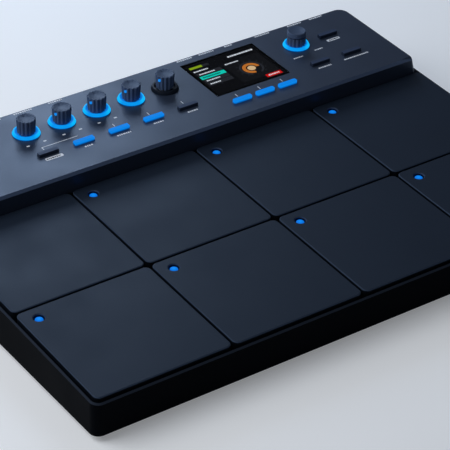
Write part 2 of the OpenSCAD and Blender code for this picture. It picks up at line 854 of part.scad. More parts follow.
module pad_at(p) {
    color("#2a323e") on_deck() translate([p[0], p[1], 0]) difference() {
        union() {
            bevelled_slab(pad_side, pad_side, pad_t, pad_corner, pad_bevel);
            for (s = studs) translate([s[0], s[1], stud_end]) cylinder(h = -pad_t - stud_end, r = stud_r);
        }
        translate([light_place[0], light_place[1], -pad_t - over])
            cylinder(h = pad_t + 2 * over, r = light_hole_r);
        translate([light_place[0], light_place[1], -light_mouth_t])
            cylinder(h = light_mouth_t, r1 = light_hole_r, r2 = light_mouth_r);
    }
}

module pad_cushions() {
    color("#4a4d52") on_deck() for (p = pads) translate([p[0], p[1], tray_z + sensor_t])
        linear_extrude(cushion_t) square(cushion_side, center = true);
}

module pad_sensors() {
    color("#c8a060") on_deck() for (p = pads) translate([p[0], p[1], tray_z])
        linear_extrude(sensor_t) square(cushion_side, center = true);
}

module pad_lights() {
    pipe_tail = 1;
    color("#1590f5") on_deck() for (p = pads)
        translate([p[0] + light_place[0], p[1] + light_place[1], 0]) {
            tail_end = deck_under - pipe_flange_t - pipe_tail;
            translate([0, 0, tail_end]) cylinder(h = -pipe_sunk - tail_end, r = pipe_r);
            translate([0, 0, deck_under - pipe_flange_t])
                cylinder(h = pipe_flange_t, r = pipe_r + pipe_flange);
        }
}

module panel_board() {
    color("#1f4a35") on_deck() {
        difference() {
            block([panel_board_left, panel_board_front, panel_board_under],
                [panel_board_right, panel_board_rear, panel_board_top]);
            for (p = board_bosses)
                translate([p[0], panel_front + p[1], panel_board_under - over])
                    cylinder(h = board_t + 2 * over, r = board_screw_r + clear);
        }
        block([-plug_w / 2, ribbon_rear - plug_d / 2, panel_board_under - plug_h],
            [plug_w / 2, ribbon_rear + plug_d / 2, panel_board_under]);
    }
}

module main_board() {
    color("#1f4a35") on_deck() {
        difference() {
            translate([0, main_board_y, main_board_under])
                linear_extrude(board_t) square([main_board_w, main_board_d], center = true);
            for (p = main_bosses)
                translate([p[0], p[1], main_board_under - over])
                    cylinder(h = board_t + 2 * over, r = board_screw_r + clear);
        }
        block([-plug_w / 2, ribbon_front - plug_d, main_board_top],
            [plug_w / 2, ribbon_front, main_board_top + plug_h]);
        for (c = chips)
            translate([c[0], main_board_y + c[1], main_board_under - chip_t])
                linear_extrude(chip_t) square(c[2], center = true);
    }
}

module jack_board() {
    color("#1f4a35") on_deck() block([window_left, jack_board_front, jack_board_top - board_t],
        [window_right, jack_board_rear, jack_board_top]);
}

// Flat cable from the main board's plug to the panel board's plug
module ribbon_cable() {
    half = ribbon_t / 2;
    low = ribbon_low - half;
    high = panel_board_under - plug_h;
    color("#9aa0a6") on_deck() rotate([90, 0, 90]) linear_extrude(ribbon_w, center = true)
        polygon([[ribbon_front, low], [ribbon_rear + half, low], [ribbon_rear + half, high],
            [ribbon_rear - half, high], [ribbon_rear - half, low + ribbon_t],
            [ribbon_front, low + ribbon_t]]);
}

module jack_plate() {
    lap = back_window_h / 2 + plate_lap;
    color("#1b1d20") on_deck() difference() {
        block([plate_left, plate_in, socket_z - lap], [plate_right, plate_out, socket_z + lap]);
        for (x = jack_x) back_rod(jack_neck_r + neck_play, x, socket_z, plate_in - over, plate_out + over);
        back_rod(inlet_neck_r + neck_play, inlet_x, socket_z, plate_in - over, plate_out + over);
        back_rod(power_r + 2 * power_play, power_x, socket_z, plate_in - over, plate_out + over);
        block([usb_x - usb_w / 2 - neck_play, plate_in - over, socket_z - usb_h / 2 - neck_play],
            [usb_x + usb_w / 2 + neck_play, plate_out + over, socket_z + usb_h / 2 + neck_play]);
        for (p = plate_screws)
            back_rod(board_screw_r + clear, p[0], p[1], plate_in - over, plate_out + over);
    }
}

module phone_jacks() {
    color("#101113") on_deck() for (x = jack_x) difference() {
        union() {
            block([x - jack_w / 2, plate_in - jack_body_d, jack_board_top],
                [x + jack_w / 2, plate_in, socket_z + jack_h / 2]);
            back_rod(jack_neck_r, x, socket_z, plate_in, jack_mouth);
        }
        back_rod(jack_bore_r, x, socket_z, jack_mouth - jack_depth, jack_mouth + over);
    }
}

module jack_nuts() {
    color("#8f9296") on_deck() for (x = jack_x) difference() {
        translate([x, plate_out + nut_t, socket_z]) rotate([90, 0, 0])
            cylinder(h = nut_t, r = nut_r, $fn = 6);
        back_rod(jack_neck_r + clear, x, socket_z, plate_out - over, plate_out + nut_t + over);
    }
}

module usb_port() {
    mouth = plate_out + usb_proud;
    back = plate_in - usb_d;
    tongue_t = 0.7;
    tongue_inset = 1.3;
    color("#a5a8ac") on_deck() {
        difference() {
            union() {
                block([usb_x - usb_w / 2, back, socket_z - usb_h / 2],
                    [usb_x + usb_w / 2, mouth, socket_z + usb_h / 2]);
                block([usb_x - usb_w / 2 - usb_bracket_t, plate_in - usb_bracket_t, jack_board_top],
                    [usb_x + usb_w / 2 + usb_bracket_t, plate_in, socket_z + usb_h]);
            }
            block([usb_x - usb_w / 2 + usb_skin, back + usb_bracket_t, socket_z - usb_h / 2 + usb_skin],
                [usb_x + usb_w / 2 - usb_skin, mouth + over, socket_z + usb_h / 2 - usb_skin]);
        }
        block([usb_x - usb_w / 2 + tongue_inset, back + over, socket_z - tongue_t / 2],
            [usb_x + usb_w / 2 - tongue_inset, mouth - over, socket_z + tongue_t / 2]);
    }
}

module power_inlet() {
    mouth = plate_out + inlet_proud;
    color("#121315") on_deck() {
        difference() {
            union() {
                block([inlet_x - inlet_w / 2, plate_in - inlet_d, jack_board_top],
                    [inlet_x + inlet_w / 2, plate_in, socket_z + inlet_w / 2]);
                back_rod(inlet_neck_r, inlet_x, socket_z, plate_in, mouth);
            }
            back_rod(inlet_bore_r, inlet_x, socket_z, mouth - inlet_depth, mouth + over);
        }
        back_rod(inlet_pin_r, inlet_x, socket_z, mouth - inlet_depth - over, mouth - over);
    }
}

module power_switch() {
    color("#17181a") on_deck() difference() {
        block([power_x - switch_w / 2, plate_in - switch_d, jack_board_top],
            [power_x + switch_w / 2, plate_in, socket_z + switch_w / 2]);
        back_rod(power_r + power_play, power_x, socket_z,
            plate_out + power_proud - power_l - power_travel - over, plate_in + over);
    }
}

module power_button() {
    color("#202329") on_deck()
        back_rod(power_r, power_x, socket_z, plate_out + power_proud - power_l, plate_out + power_proud);
}

upper_case();
base_plate();
control_panel();
jack_plate();
rubber_feet();
case_screws();
board_screws();
stand_inserts();
main_board();
panel_board();
jack_board();
ribbon_cable();
display_window();
display_module();
light_rings();
pot_bodies();
tact_switches();
pad_cushions();
pad_sensors();
pad_lights();
phone_jacks();
jack_nuts();
usb_port();
power_inlet();
power_switch();
for (i = [0:len(pads) - 1])
    pad_at(pads[i]);
for (i = [0:encoder - 1])
    knob_at(knobs[i]);
encoder_knob();
for (i = [0:encoder - 1])
    shaft_at(knobs[i]);
shaft_at(knobs[encoder]);  // encoder_shaft
for (i = [0:len(main_buttons) - 1])
    button_at(main_buttons[i], button_tints[i]);
for (i = [0:len(soft_keys) - 1])
    button_at(soft_keys[i], lit);
for (i = [0:len(menu_buttons) - 1])
    button_at(menu_buttons[i], unlit);
power_button();
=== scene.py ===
"""Looks of an electronic percussion pad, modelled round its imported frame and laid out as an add-on."""

import json
import math

import bpy
from mathutils import Matrix, Vector


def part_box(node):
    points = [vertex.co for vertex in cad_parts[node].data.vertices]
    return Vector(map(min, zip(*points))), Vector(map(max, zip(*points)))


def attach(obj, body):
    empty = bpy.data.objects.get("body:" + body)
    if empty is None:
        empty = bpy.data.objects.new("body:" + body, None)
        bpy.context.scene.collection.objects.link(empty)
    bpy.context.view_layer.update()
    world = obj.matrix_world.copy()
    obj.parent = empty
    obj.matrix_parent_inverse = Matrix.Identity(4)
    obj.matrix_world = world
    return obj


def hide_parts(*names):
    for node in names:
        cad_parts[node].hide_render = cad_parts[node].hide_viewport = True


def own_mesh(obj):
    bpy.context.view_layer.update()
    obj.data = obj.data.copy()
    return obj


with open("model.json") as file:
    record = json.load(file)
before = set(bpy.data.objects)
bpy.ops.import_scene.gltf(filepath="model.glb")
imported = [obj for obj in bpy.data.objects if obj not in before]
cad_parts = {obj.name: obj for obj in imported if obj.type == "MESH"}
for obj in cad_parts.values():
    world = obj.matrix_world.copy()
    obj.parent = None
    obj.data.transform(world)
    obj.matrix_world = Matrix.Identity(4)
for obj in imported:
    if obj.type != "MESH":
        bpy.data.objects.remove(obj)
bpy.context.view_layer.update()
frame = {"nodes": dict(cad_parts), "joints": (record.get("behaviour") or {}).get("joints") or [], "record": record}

bl_info = {
    "name": "Percussion pad looks",
    "version": (1, 0, 0),
    "blender": (4, 5, 0),
    "location": "3D View > Sidebar > Percussion pad",
    "description": "Models the visible pieces of an electronic percussion pad and gives them their finish",
    "category": "Object",
}

MM = 0.001
# Places closer than this count as the same
NEAR = 0.001 * MM
# Edges that turn by more degrees than this stay sharp
SHARP = 40

PADS = [f"pad_{i}" for i in range(1, 9)]
KNOBS = [f"knob_{i}" for i in range(1, 6)]
ALL_KNOBS = KNOBS + ["encoder_knob"]
BUTTONS = [f"button_{i}" for i in range(1, 6)]
SOFT_KEYS = [f"soft_key_{i}" for i in range(1, 4)]
MENU_BUTTONS = [f"menu_button_{i}" for i in range(1, 4)]
LIT_BUTTONS = BUTTONS[1:4] + SOFT_KEYS
LIT_RINGS = KNOBS[:4] + ["encoder_knob"]
DOTTED_KNOBS = KNOBS[1:]


def linear(code):
    """Linear red, green, blue and alpha of an sRGB hex colour."""
    parts = [int(code[i:i + 2], 16) / 255 for i in (1, 3, 5)]
    return tuple(p / 12.92 if p <= 0.04045 else ((p + 0.055) / 1.055) ** 2.4 for p in parts) + (1.0,)


def find_joint(name):
    """A joint of the frame by its name."""
    return next(j for j in frame["joints"] if j["name"] == name)


def find_deck():
    """Frame of the sloping deck: y is 0 between the rows of pads and z is 0 on the pads' tops."""
    axis = find_joint("pad_1_strike")["axis"]
    turn = Matrix.Rotation(math.atan2(-axis[1], axis[2]), 4, "X")
    level = turn.inverted()
    points = [level @ v.co for name in PADS for v in frame["nodes"][name].data.vertices]
    middle = (min(p.y for p in points) + max(p.y for p in points)) / 2
    return turn @ Matrix.Translation((0, middle, max(p.z for p in points)))


DECK = find_deck()
TO_DECK = DECK.inverted()


def deck_box(node):
    """Lowest and highest corner of a CAD node, measured along the deck's own axes."""
    points = [TO_DECK @ v.co for v in frame["nodes"][node].data.vertices]
    low = Vector([min(p[i] for p in points) for i in range(3)])
    high = Vector([max(p[i] for p in points) for i in range(3)])
    return low, high


def deck_middle(node):
    """Middle of a CAD node on the deck's plan."""
    low, high = deck_box(node)
    return Vector(((low.x + high.x) / 2, (low.y + high.y) / 2, 0))


def knob_axis(name):
    """Place of a knob's axis on the deck's plan."""
    place = TO_DECK @ Vector(find_joint(name + "_turn")["pos_m"])
    return Vector((place.x, place.y, 0))


PAD_LOW, PAD_HIGH = deck_box(PADS[0])
PAD_HALF = (PAD_HIGH.x - PAD_LOW.x) / 2
PANEL_LOW, PANEL_HIGH = deck_box("control_panel")
PANEL_TOP = PANEL_HIGH.z


# Sizes and colours that a user would change


def length(name, description, millimetres):
    """Setting for a length, given in millimetres."""
    return bpy.props.FloatProperty(
        name=name, description=description, default=millimetres * MM, unit="LENGTH", precision=5)


def colour(name, description, code):
    """Setting for a colour, given as an sRGB hex value."""
    return bpy.props.FloatVectorProperty(
        name=name, description=description, default=linear(code), subtype="COLOR", size=4, min=0, max=1)


def number(name, description, default):
    """Setting for a plain number."""
    return bpy.props.FloatProperty(name=name, description=description, default=default)


class PadLooks(bpy.types.PropertyGroup):
    """Strike pads and their lights."""

    rubber: colour("Rubber", "Colour of the strike pads", "#1e2735")
    thickness: length("Thickness", "Thickness of the rubber tile", 8)
    corner: length("Corner", "Radius of a pad's corners, seen from above", 4.5)
    edge: length("Edge", "Radius along a pad's top edge", 0.9)
    stud_r: length("Stud radius", "Radius of the guide studs under a pad", 2.5)
    stud_inset: length("Stud inset", "Distance of the studs from the pad's edges", 8)
    hole_r: length("Light hole", "Radius of the light's hole", 4)
    mouth_r: length("Hole mouth", "Radius of the hole's flared mouth", 4.9)
    mouth_depth: length("Mouth depth", "Depth of the hole's flare", 1.4)
    light_left: length("Light from left", "Distance of the light from the pad's left edge", 12.7)
    light_back: length("Light from back", "Distance of the light from the pad's back edge", 11.5)


class CaseLooks(bpy.types.PropertyGroup):
    """Case, base plate and feet."""

    # Tone of the case's upward faces, which holds a painted sheen; its walls are painted darker as shade
    plastic: colour("Case plastic", "Colour of the moulded case", "#13171e")
    steel: colour("Powder coat", "Colour of the coated steel plates", "#17191d")
    rubber: colour("Foot rubber", "Colour of the feet", "#121214")


class PanelLooks(bpy.types.PropertyGroup):
    """Control panel and its printed marks."""

    plastic: colour("Panel plastic", "Colour of the control panel", "#293243")
    print_colour: colour("Print", "Colour of the printed marks", "#eef3fb")
    wall: length("Wall", "Thickness of the panel's walls", 2.5)
    lean: length("Lean", "How far the panel's ends lean inward", 4.5)
    back_corner: length("Back corner", "Radius of the panel's back corners", 9)
    front_corner: length("Front corner", "Radius of the panel's front corners", 3)
    top_round: length("Top round", "Radius along the panel's top edges", 2.0)
    bevel_depth: length("Bevel depth", "Depth of the bevel along the front", 1.0)
    bevel_height: length("Bevel height", "Height of the bevel along the front", 2.8)
    knob_hole_r: length("Knob hole", "Radius of the holes under the knobs", 9.3)
    soft_edge: length("Soft edge", "Radius on the edges of the cut-outs", 0.2)


class KnobLooks(bpy.types.PropertyGroup):
    """Knobs and the lit rings under them."""

    plastic: colour("Knob plastic", "Colour of the knobs", "#3d4b63")
    light: colour("Ring light", "Colour of the lit rings", "#067be2")
    flutes: bpy.props.IntProperty(name="Flutes", description="Number of flutes round a knob", default=14)
    flute_depth: length("Flute depth", "Depth of the flutes", 0.85)
    chamfer: length("Chamfer", "Chamfer round a knob's top", 0.5)
    taper: length("Taper", "How much narrower a knob is at its base", 0.5)
    dish: length("Dish", "Depth of the hollow in a knob's top", 0.9)
    shaft_r: length("Shaft bore", "Radius of the hole for the shaft", 3.05)
    shaft_depth: length("Bore depth", "Depth of the hole for the shaft", 9)


class ButtonLooks(bpy.types.PropertyGroup):
    """Bar buttons."""

    dark: colour("Unlit", "Colour of the unlit buttons", "#36425a")
    light: colour("Lit", "Colour of the lit buttons", "#0674d4")
    size_x: length("Length", "Length of a button's cap", 17)
    size_y: length("Width", "Width of a button's cap", 4.2)
    lip: length("Lip", "Width of the lip under the panel", 0.8)
    lip_t: length("Lip thickness", "Thickness of the lip", 1)
    rest_gap: length("Rest gap", "Gap between the lip and the panel", 0.2)
    corner: length("Corner", "Radius of a bar button's corners", 0.5)
    soft_corner: length("Soft key corner", "Radius of a soft key's corners", 1.5)
    crown: length("Crown", "Radius along a cap's top edges", 0.35)
    gap: length("Gap", "Gap round a button", 0.25)
    stem_r: length("Stem", "Radius of the stem that reaches the switch", 1.5)


class DisplayLooks(bpy.types.PropertyGroup):
    """Display window and what it shows."""

    glass: colour("Window", "Tint of the clear window", "#f2f5fa")
    black: colour("Screen black", "Colour of the screen where it is off", "#06070a")
    text: colour("Text bars", "Colour of the text bars", "#dfe3ea")
    panel: colour("Screen panel", "Colour of the grey panels", "#0f1013")
    row: colour("List rows", "Colour of the list rows", "#25272c")
    chosen: colour("Chosen row", "Colour of the chosen row", "#0ccdb6")
    level: colour("Level bar", "Colour of the level bar", "#84a018")
    warm: colour("Dial", "Colour of the dial's arc", "#c0702a")
    pale: colour("Dial hub", "Colour of the dial's hub", "#dcb98a")
    alert: colour("Red bar", "Colour of the red bar", "#c80c0c")
    corner: length("Corner", "Radius of the window's corners", 0.8)
    ledge: length("Ledge", "Width of the black border", 2.2)
    glass_t: length("Glass thickness", "Thickness of the clear window", 0.5)


class StageLooks(bpy.types.PropertyGroup):
    """Floor, light and camera."""

    floor: colour("Floor", "Colour of the floor", "#eaedf1")
    sky: colour("Surrounding light", "Colour of the light from all round", "#e4ebf5")
    sky_strength: number("Surrounding strength", "Strength of the light from all round", 0.12)
    key_power: number("Key power", "Power of the soft lamp behind the object, in watts", 2.65)
    fill_power: number("Fill power", "Power of the large lamp at the left, in watts", 7.5)
    azimuth: number("Azimuth", "Camera's turn to the right of the front, in degrees", -34.0)
    elevation: number("Elevation", "Camera's height above the horizon, in degrees", 32.99)
    distance: length("Distance", "Distance from the camera to its aim", 1611.2)
    focal: number("Lens", "Focal length on a 36 mm sensor, in millimetres", 176.95)
    aim: bpy.props.FloatVectorProperty(
        name="Aim", description="Point that the camera looks at", size=3, unit="LENGTH",
        default=(-36.1 * MM, -36.2 * MM, 39.1 * MM))


# Modelling by operators


def deselect():
    """Leaves edit mode and drops every selection, because an operator acts on all that is selected."""
    active = bpy.context.view_layer.objects.active
    if active and active.mode != "OBJECT":
        bpy.ops.object.mode_set(mode="OBJECT")
    bpy.ops.object.select_all(action="DESELECT")


def take(*pieces):
    """Selects these pieces alone, the first one active."""
    deselect()
    for piece in pieces:
        piece.select_set(True)
    bpy.context.view_layer.objects.active = pieces[0]
    return pieces[0]


def settle_mesh(piece):
    """Puts a piece's place, turn and scale into its mesh."""
    take(piece)
    bpy.ops.object.transform_apply(location=True, rotation=True, scale=True)
    return piece


def name_new(name):
    """Names the object that an operator has just added."""
    piece = bpy.context.view_layer.objects.active
    piece.name = name
    piece.data.name = name
    return settle_mesh(piece)


def add_block(name, low, high):
    """Block between two corners, for the operators to shape."""
    low, high = Vector(low), Vector(high)
    deselect()
    bpy.ops.mesh.primitive_cube_add(size=1, location=(low + high) / 2, scale=high - low)
    return name_new(name)


def pick(piece, kind, test):
    """Enters edit mode with only the vertices, edges or faces selected that pass the test."""
    take(piece)
    bpy.ops.object.mode_set(mode="EDIT")
    bpy.ops.mesh.select_mode(type=kind)
    bpy.ops.mesh.select_all(action="DESELECT")
    bpy.ops.object.mode_set(mode="OBJECT")
    mesh = piece.data
    if kind == "VERT":
        for vertex in mesh.vertices:
            vertex.select = test(vertex.co)
    elif kind == "EDGE":
        for edge in mesh.edges:
            edge.select = test(*[mesh.vertices[i].co for i in edge.vertices])
    else:
        for face in mesh.polygons:
            face.select = test(face.center, face.normal)
    bpy.ops.object.mode_set(mode="EDIT")


def near(a, b):
    """Whether two places along an axis count as the same."""
    return abs(a - b) < NEAR


def round_edges(piece, test, radius, segments):
    """Rounds the edges whose two ends pass the test."""
    pick(piece, "EDGE", test)
    bpy.ops.mesh.bevel(offset=radius, offset_type="OFFSET", segments=segments, profile=0.5, affect="EDGES")
    bpy.ops.object.mode_set(mode="OBJECT")


def upright(a, b):
    """Whether the edge between two points stands upright."""
    return near(a.x, b.x) and near(a.y, b.y)


def level_at(z):
    """Test for the edges that lie at one height."""
    return lambda a, b: near(a.z, z) and near(b.z, z)


def turn_profile(name, profile, steps=64, closed_ring=False):
    """Piece turned about the z axis from (radius, height) points, by extruding and scaling a circle."""
    deselect()
    radius, height = profile[0]
    fill = "NOTHING" if closed_ring else "NGON"
    bpy.ops.mesh.primitive_circle_add(
        vertices=steps, radius=radius, fill_type=fill, location=(0, 0, height))
    piece = name_new(name)
    raise_profile(piece, profile)
    return clean(piece)


def edit_all(piece):
    """Enters edit mode with the whole mesh selected."""
    take(piece)
    bpy.ops.object.mode_set(mode="EDIT")
    bpy.ops.mesh.select_all(action="SELECT")


def raise_profile(piece, profile):
    """Extrudes a flat outline at the profile's first point up through the rest."""
    edit_all(piece)
    for (r0, z0), (r1, z1) in zip(profile, profile[1:]):
        bpy.ops.mesh.extrude_region_move(TRANSFORM_OT_translate={"value": (0, 0, z1 - z0)})
        bpy.ops.transform.resize(value=(r1 / r0, r1 / r0, 1), center_override=(0, 0, z1))
    bpy.ops.object.mode_set(mode="OBJECT")


def clean(piece):
    """Merges double points and turns all faces outward."""
    edit_all(piece)
    bpy.ops.mesh.remove_doubles(threshold=NEAR)
    bpy.ops.mesh.normals_make_consistent(inside=False)
    bpy.ops.object.mode_set(mode="OBJECT")
    return piece


def rod(name, radius, low, high, steps):
    """Plain round rod about the z axis, for cutting a hole."""
    return turn_profile(name, [(radius, low), (radius, high)], steps=steps)


def move(piece, offset):
    """Moves a piece and puts the move into its mesh."""
    piece.location = Vector(offset)
    return settle_mesh(piece)


def twin(piece, name, offset=(0, 0, 0)):
    """Copy of a piece with its own mesh, moved by an offset."""
    copy = piece.copy()
    copy.data = piece.data.copy()
    copy.name = name
    copy.data.name = name
    bpy.context.scene.collection.objects.link(copy)
    return move(copy, offset)


def drop(piece):
    """Removes a model or a cutter that is no longer needed."""
    bpy.data.objects.remove(piece, do_unlink=True)


def join(pieces):
    """Joins pieces that don't overlap into the first one."""
    take(*pieces)
    if len(pieces) > 1:
        bpy.ops.object.join()
    return pieces[0]


def apply_tool(piece, kind, **settings):
    """Adds a modifier with its settings and applies it."""
    take(piece)
    bpy.ops.object.modifier_add(type=kind)
    tool = piece.modifiers[-1]
    for name, value in settings.items():
        setattr(tool, name, value)
    bpy.ops.object.modifier_apply(modifier=tool.name)
    return piece


def combine(piece, other, operation):
    """Cuts another shape out of a piece, adds it or keeps what both share, and removes the other shape."""
    apply_tool(piece, "BOOLEAN", object=other, operation=operation, solver="EXACT")
    drop(other)
    return piece


def soften(piece, width):
    """Small round on every sharp edge."""
    return apply_tool(
        piece, "BEVEL", width=width, segments=2, limit_method="ANGLE", angle_limit=math.radians(SHARP))


def smooth(piece, angle=SHARP):
    """Smooth shading that keeps flat faces flat."""
    take(piece)
    bpy.ops.object.shade_smooth_by_angle(angle=math.radians(angle))
    return apply_tool(piece, "WEIGHTED_NORMAL", keep_sharp=True)


def glow(piece, rule):
    """Stores how brightly each point is lit, 1 at most and dark from -1 down, for the lit materials."""
    layer = piece.data.attributes.new("glow", "FLOAT", "POINT")
    for vertex, value in zip(piece.data.vertices, layer.data):
        value.value = rule(vertex.co)
    return piece


def give_finish(piece, material):
    """Gives a piece one finish in place of any that it has."""
    piece.data.materials.clear()
    piece.data.materials.append(material)


def hand_over(piece, material, body, nodes=(), sloped=True):
    """Carries a piece to the deck's slope, gives it its finish and tells the frame what it stands for."""
    if sloped:
        piece.matrix_world = DECK
        settle_mesh(piece)
    give_finish(piece, material)
    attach(piece, body)
    if nodes:
        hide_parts(*nodes)
    return piece


# Materials


def add_node(tree, kind, inputs=None, **settings):
    """Adds one shader node. Each input gets a value, or the socket or the first output that feeds it."""
    node = tree.nodes.new("ShaderNode" + kind)
    for name, value in settings.items():
        setattr(node, name, value)
    for name, value in (inputs or {}).items():
        if isinstance(value, bpy.types.Node):
            value = value.outputs[0]
        if isinstance(value, bpy.types.NodeSocket):
            tree.links.new(value, node.inputs[name])
        else:
            node.inputs[name].default_value = value
    return node


def start_material(name):
    """New material with only an output, and the socket for places on the object."""
    material = bpy.data.materials.new(name)
    material.use_nodes = True
    tree = material.node_tree
    tree.nodes.clear()
    place = add_node(tree, "TexCoord").outputs["Object"]
    return material, tree, place


def per(millimetres):
    """Texture scale whose pattern repeats about once in this many millimetres."""
    return 1 / (millimetres * MM)


# Blender's wave texture runs through 20 radians in one unit of its coordinates
WAVE = 2 * math.pi / 20


def tinted(shade, factor):
    """A colour made darker or lighter, with its alpha kept."""
    return tuple(min(1.0, part * factor) for part in shade[:3]) + (1.0,)


# Tint of what moulded plastic and rubber mirror, a little cool
COOL_TINT = linear("#c6ddff")


def moulded(name, shade, grain, depth, roughness, specular=0.3, variation=0.08, painted_side_shading=1.0, edges=None,
            chamfer=None):
    """Moulded plastic or rubber: a fine spark-eroded grain breaks up the light, and slow flow marks, about
    45 mm apart, shift the tone and the gloss a little. The grain is drawn coarser than the real 0.2 mm, to
    show. The tone is also scaled by which way a face looks, as painted light and shade: side faces can get
    a darker or lighter painted tone than the faces that look upward, and round edges and a chamfer along
    the front can be painted paler, as a painted highlight."""
    material, tree, place = start_material(name)
    fine = add_node(tree, "TexNoise", {"Vector": place, "Scale": per(grain), "Detail": 3.0})
    flow = add_node(tree, "TexNoise", {"Vector": place, "Scale": per(45), "Detail": 2.0})
    tone = add_node(tree, "MixRGB", {
        "Fac": flow,
        "Color1": tinted(shade, 1 - variation),
        "Color2": tinted(shade, 1 + variation)})
    speck = add_node(tree, "MixRGB", {
        "Fac": fine,
        "Color1": tone,
        "Color2": tinted(shade, 1 + 2 * variation)})
    gloss = add_node(tree, "MapRange", {
        "Value": flow,
        "From Min": 0.3, "From Max": 0.7,
        "To Min": roughness - 0.05, "To Max": roughness + 0.05})
    bump = add_node(tree, "Bump", {"Height": fine, "Strength": 0.35, "Distance": depth * MM})
    # Painted light and shade: the tone is scaled by how far a face looks upward, and round edges are painted paler
    # as a painted highlight
    facing = add_node(tree, "TexCoord").outputs["Normal"]
    normal = add_node(tree, "SeparateXYZ", {"Vector": facing})
    below = painted_side_shading
    if edges is not None:
        below = add_node(tree, "MapRange", {
            "Value": normal.outputs["Z"], "From Min": 0.1, "From Max": 0.3,
            "To Min": painted_side_shading, "To Max": edges})
    share = add_node(tree, "MapRange", {
        "Value": normal.outputs["Z"], "From Min": 0.75, "From Max": 0.95, "To Min": below, "To Max": 1.0})
    # Painted highlight on the chamfer along the front
    if chamfer is not None:
        lean = add_node(tree, "MapRange", {
            "Value": normal.outputs["Z"], "From Min": 0.1, "From Max": 0.2})
        ahead = add_node(tree, "MapRange", {
            "Value": normal.outputs["Y"], "From Min": -0.7, "From Max": -0.85,
            "To Max": lean})
        share = add_node(tree, "MapRange", {"Value": ahead, "To Min": share, "To Max": chamfer})
    skin = add_node(tree, "VectorMath", {"Vector": speck, "Scale": share}, operation="SCALE")
    shader = add_node(tree, "BsdfPrincipled", {
        "Base Color": skin,
        "Roughness": gloss,
        "Specular IOR Level": specular,
        "Specular Tint": COOL_TINT,
        "IOR": 1.5,
        "Normal": bump})
    add_node(tree, "OutputMaterial", {"Surface": shader})
    return material


def lit_acrylic(name, shade, core):
    """Edge-lit acrylic that glows as its glow attribute says, which is partly the part's own light and partly
    painted highlight and painted shade. A glow of 0 gives the shade, 1 the core, and below 0 the moulding
    fades to dark."""
    material, tree, place = start_material(name)
    level = add_node(tree, "Attribute", attribute_name="glow").outputs["Fac"]
    haze = add_node(tree, "TexNoise", {"Vector": place, "Scale": per(3), "Detail": 1.0})
    uneven = add_node(tree, "Math", {0: haze, 1: 0.25}, operation="MULTIPLY")
    amount = add_node(tree, "Math", {0: level, 1: uneven}, operation="ADD", use_clamp=True)
    lit = add_node(tree, "MixRGB", {"Fac": amount, "Color1": shade, "Color2": core})
    cover = add_node(tree, "Math", {0: level, 1: 1.0}, operation="ADD", use_clamp=True)
    light = add_node(tree, "MixRGB", {"Fac": cover, "Color1": tinted(shade, 0.02), "Color2": lit})
    shader = add_node(tree, "BsdfPrincipled", {
        "Base Color": tinted(shade, 0.12),
        "Roughness": 0.45,
        "Specular IOR Level": 0.03,
        "IOR": 1.49,
        "Emission Color": light,
        "Emission Strength": 1.0})
    add_node(tree, "OutputMaterial", {"Surface": shader})
    return material


def smoked_acrylic(name, shade):
    """Unlit acrylic: glossy and almost black, with a little haze in it."""
    material, tree, place = start_material(name)
    haze = add_node(tree, "TexNoise", {"Vector": place, "Scale": per(4), "Detail": 2.0})
    tone = add_node(tree, "MixRGB", {
        "Fac": haze, "Color1": tinted(shade, 0.8), "Color2": tinted(shade, 1.3)})
    shader = add_node(tree, "BsdfPrincipled", {
        "Base Color": tone, "Roughness": 0.42, "Specular IOR Level": 0.12, "IOR": 1.49})
    add_node(tree, "OutputMaterial", {"Surface": shader})
    return material


def coated_steel(name, shade):
    """Powder coat on steel: a low orange peel a couple of millimetres wide, half matt."""
    material, tree, place = start_material(name)
    peel = add_node(tree, "TexNoise", {"Vector": place, "Scale": per(2), "Detail": 1.0})
    dust = add_node(tree, "TexNoise", {"Vector": place, "Scale": per(30), "Detail": 3.0})
    tone = add_node(tree, "MixRGB", {
        "Fac": dust, "Color1": tinted(shade, 0.88), "Color2": tinted(shade, 1.15)})
    bump = add_node(tree, "Bump", {"Height": peel, "Strength": 0.3, "Distance": 0.06 * MM})
    shader = add_node(tree, "BsdfPrincipled", {
        "Base Color": tone,
        "Roughness": 0.48,
        "IOR": 1.5,
        "Normal": bump})
    add_node(tree, "OutputMaterial", {"Surface": shader})
    return material


def plated_metal(name, code, roughness, brush):
    """Bare or plated metal: fine tool marks, drawn as long thin noise, vary the gloss."""
    material, tree, place = start_material(name)
    shade = linear(code)
    drawn = add_node(tree, "Mapping", {"Vector": place, "Scale": (1, 1, 8)})
    marks = add_node(tree, "TexNoise", {"Vector": drawn, "Scale": per(brush), "Detail": 2.0})
    gloss = add_node(tree, "MapRange", {
        "Value": marks, "To Min": roughness - 0.1, "To Max": roughness + 0.1})
    tone = add_node(tree, "MixRGB", {"Fac": marks, "Color1": tinted(shade, 0.85), "Color2": shade})
    shader = add_node(tree, "BsdfPrincipled", {"Base Color": tone, "Metallic": 1.0, "Roughness": gloss})
    add_node(tree, "OutputMaterial", {"Surface": shader})
    return material


def solder_mask():
    """Green solder mask over copper: tracks show as a lighter net of lines, 2.5 and 5 mm apart."""
    material, tree, place = start_material("glass fibre board with green solder mask")
    tracks = add_node(tree, "TexBrick", {
        "Vector": place, "Scale": per(10), "Color1": linear("#123d29"), "Color2": linear("#154630"),
        "Mortar": linear("#2a6b48"), "Mortar Size": 0.03})
    shader = add_node(tree, "BsdfPrincipled", {"Base Color": tracks, "Roughness": 0.35, "IOR": 1.5})
    add_node(tree, "OutputMaterial", {"Surface": shader})
    return material


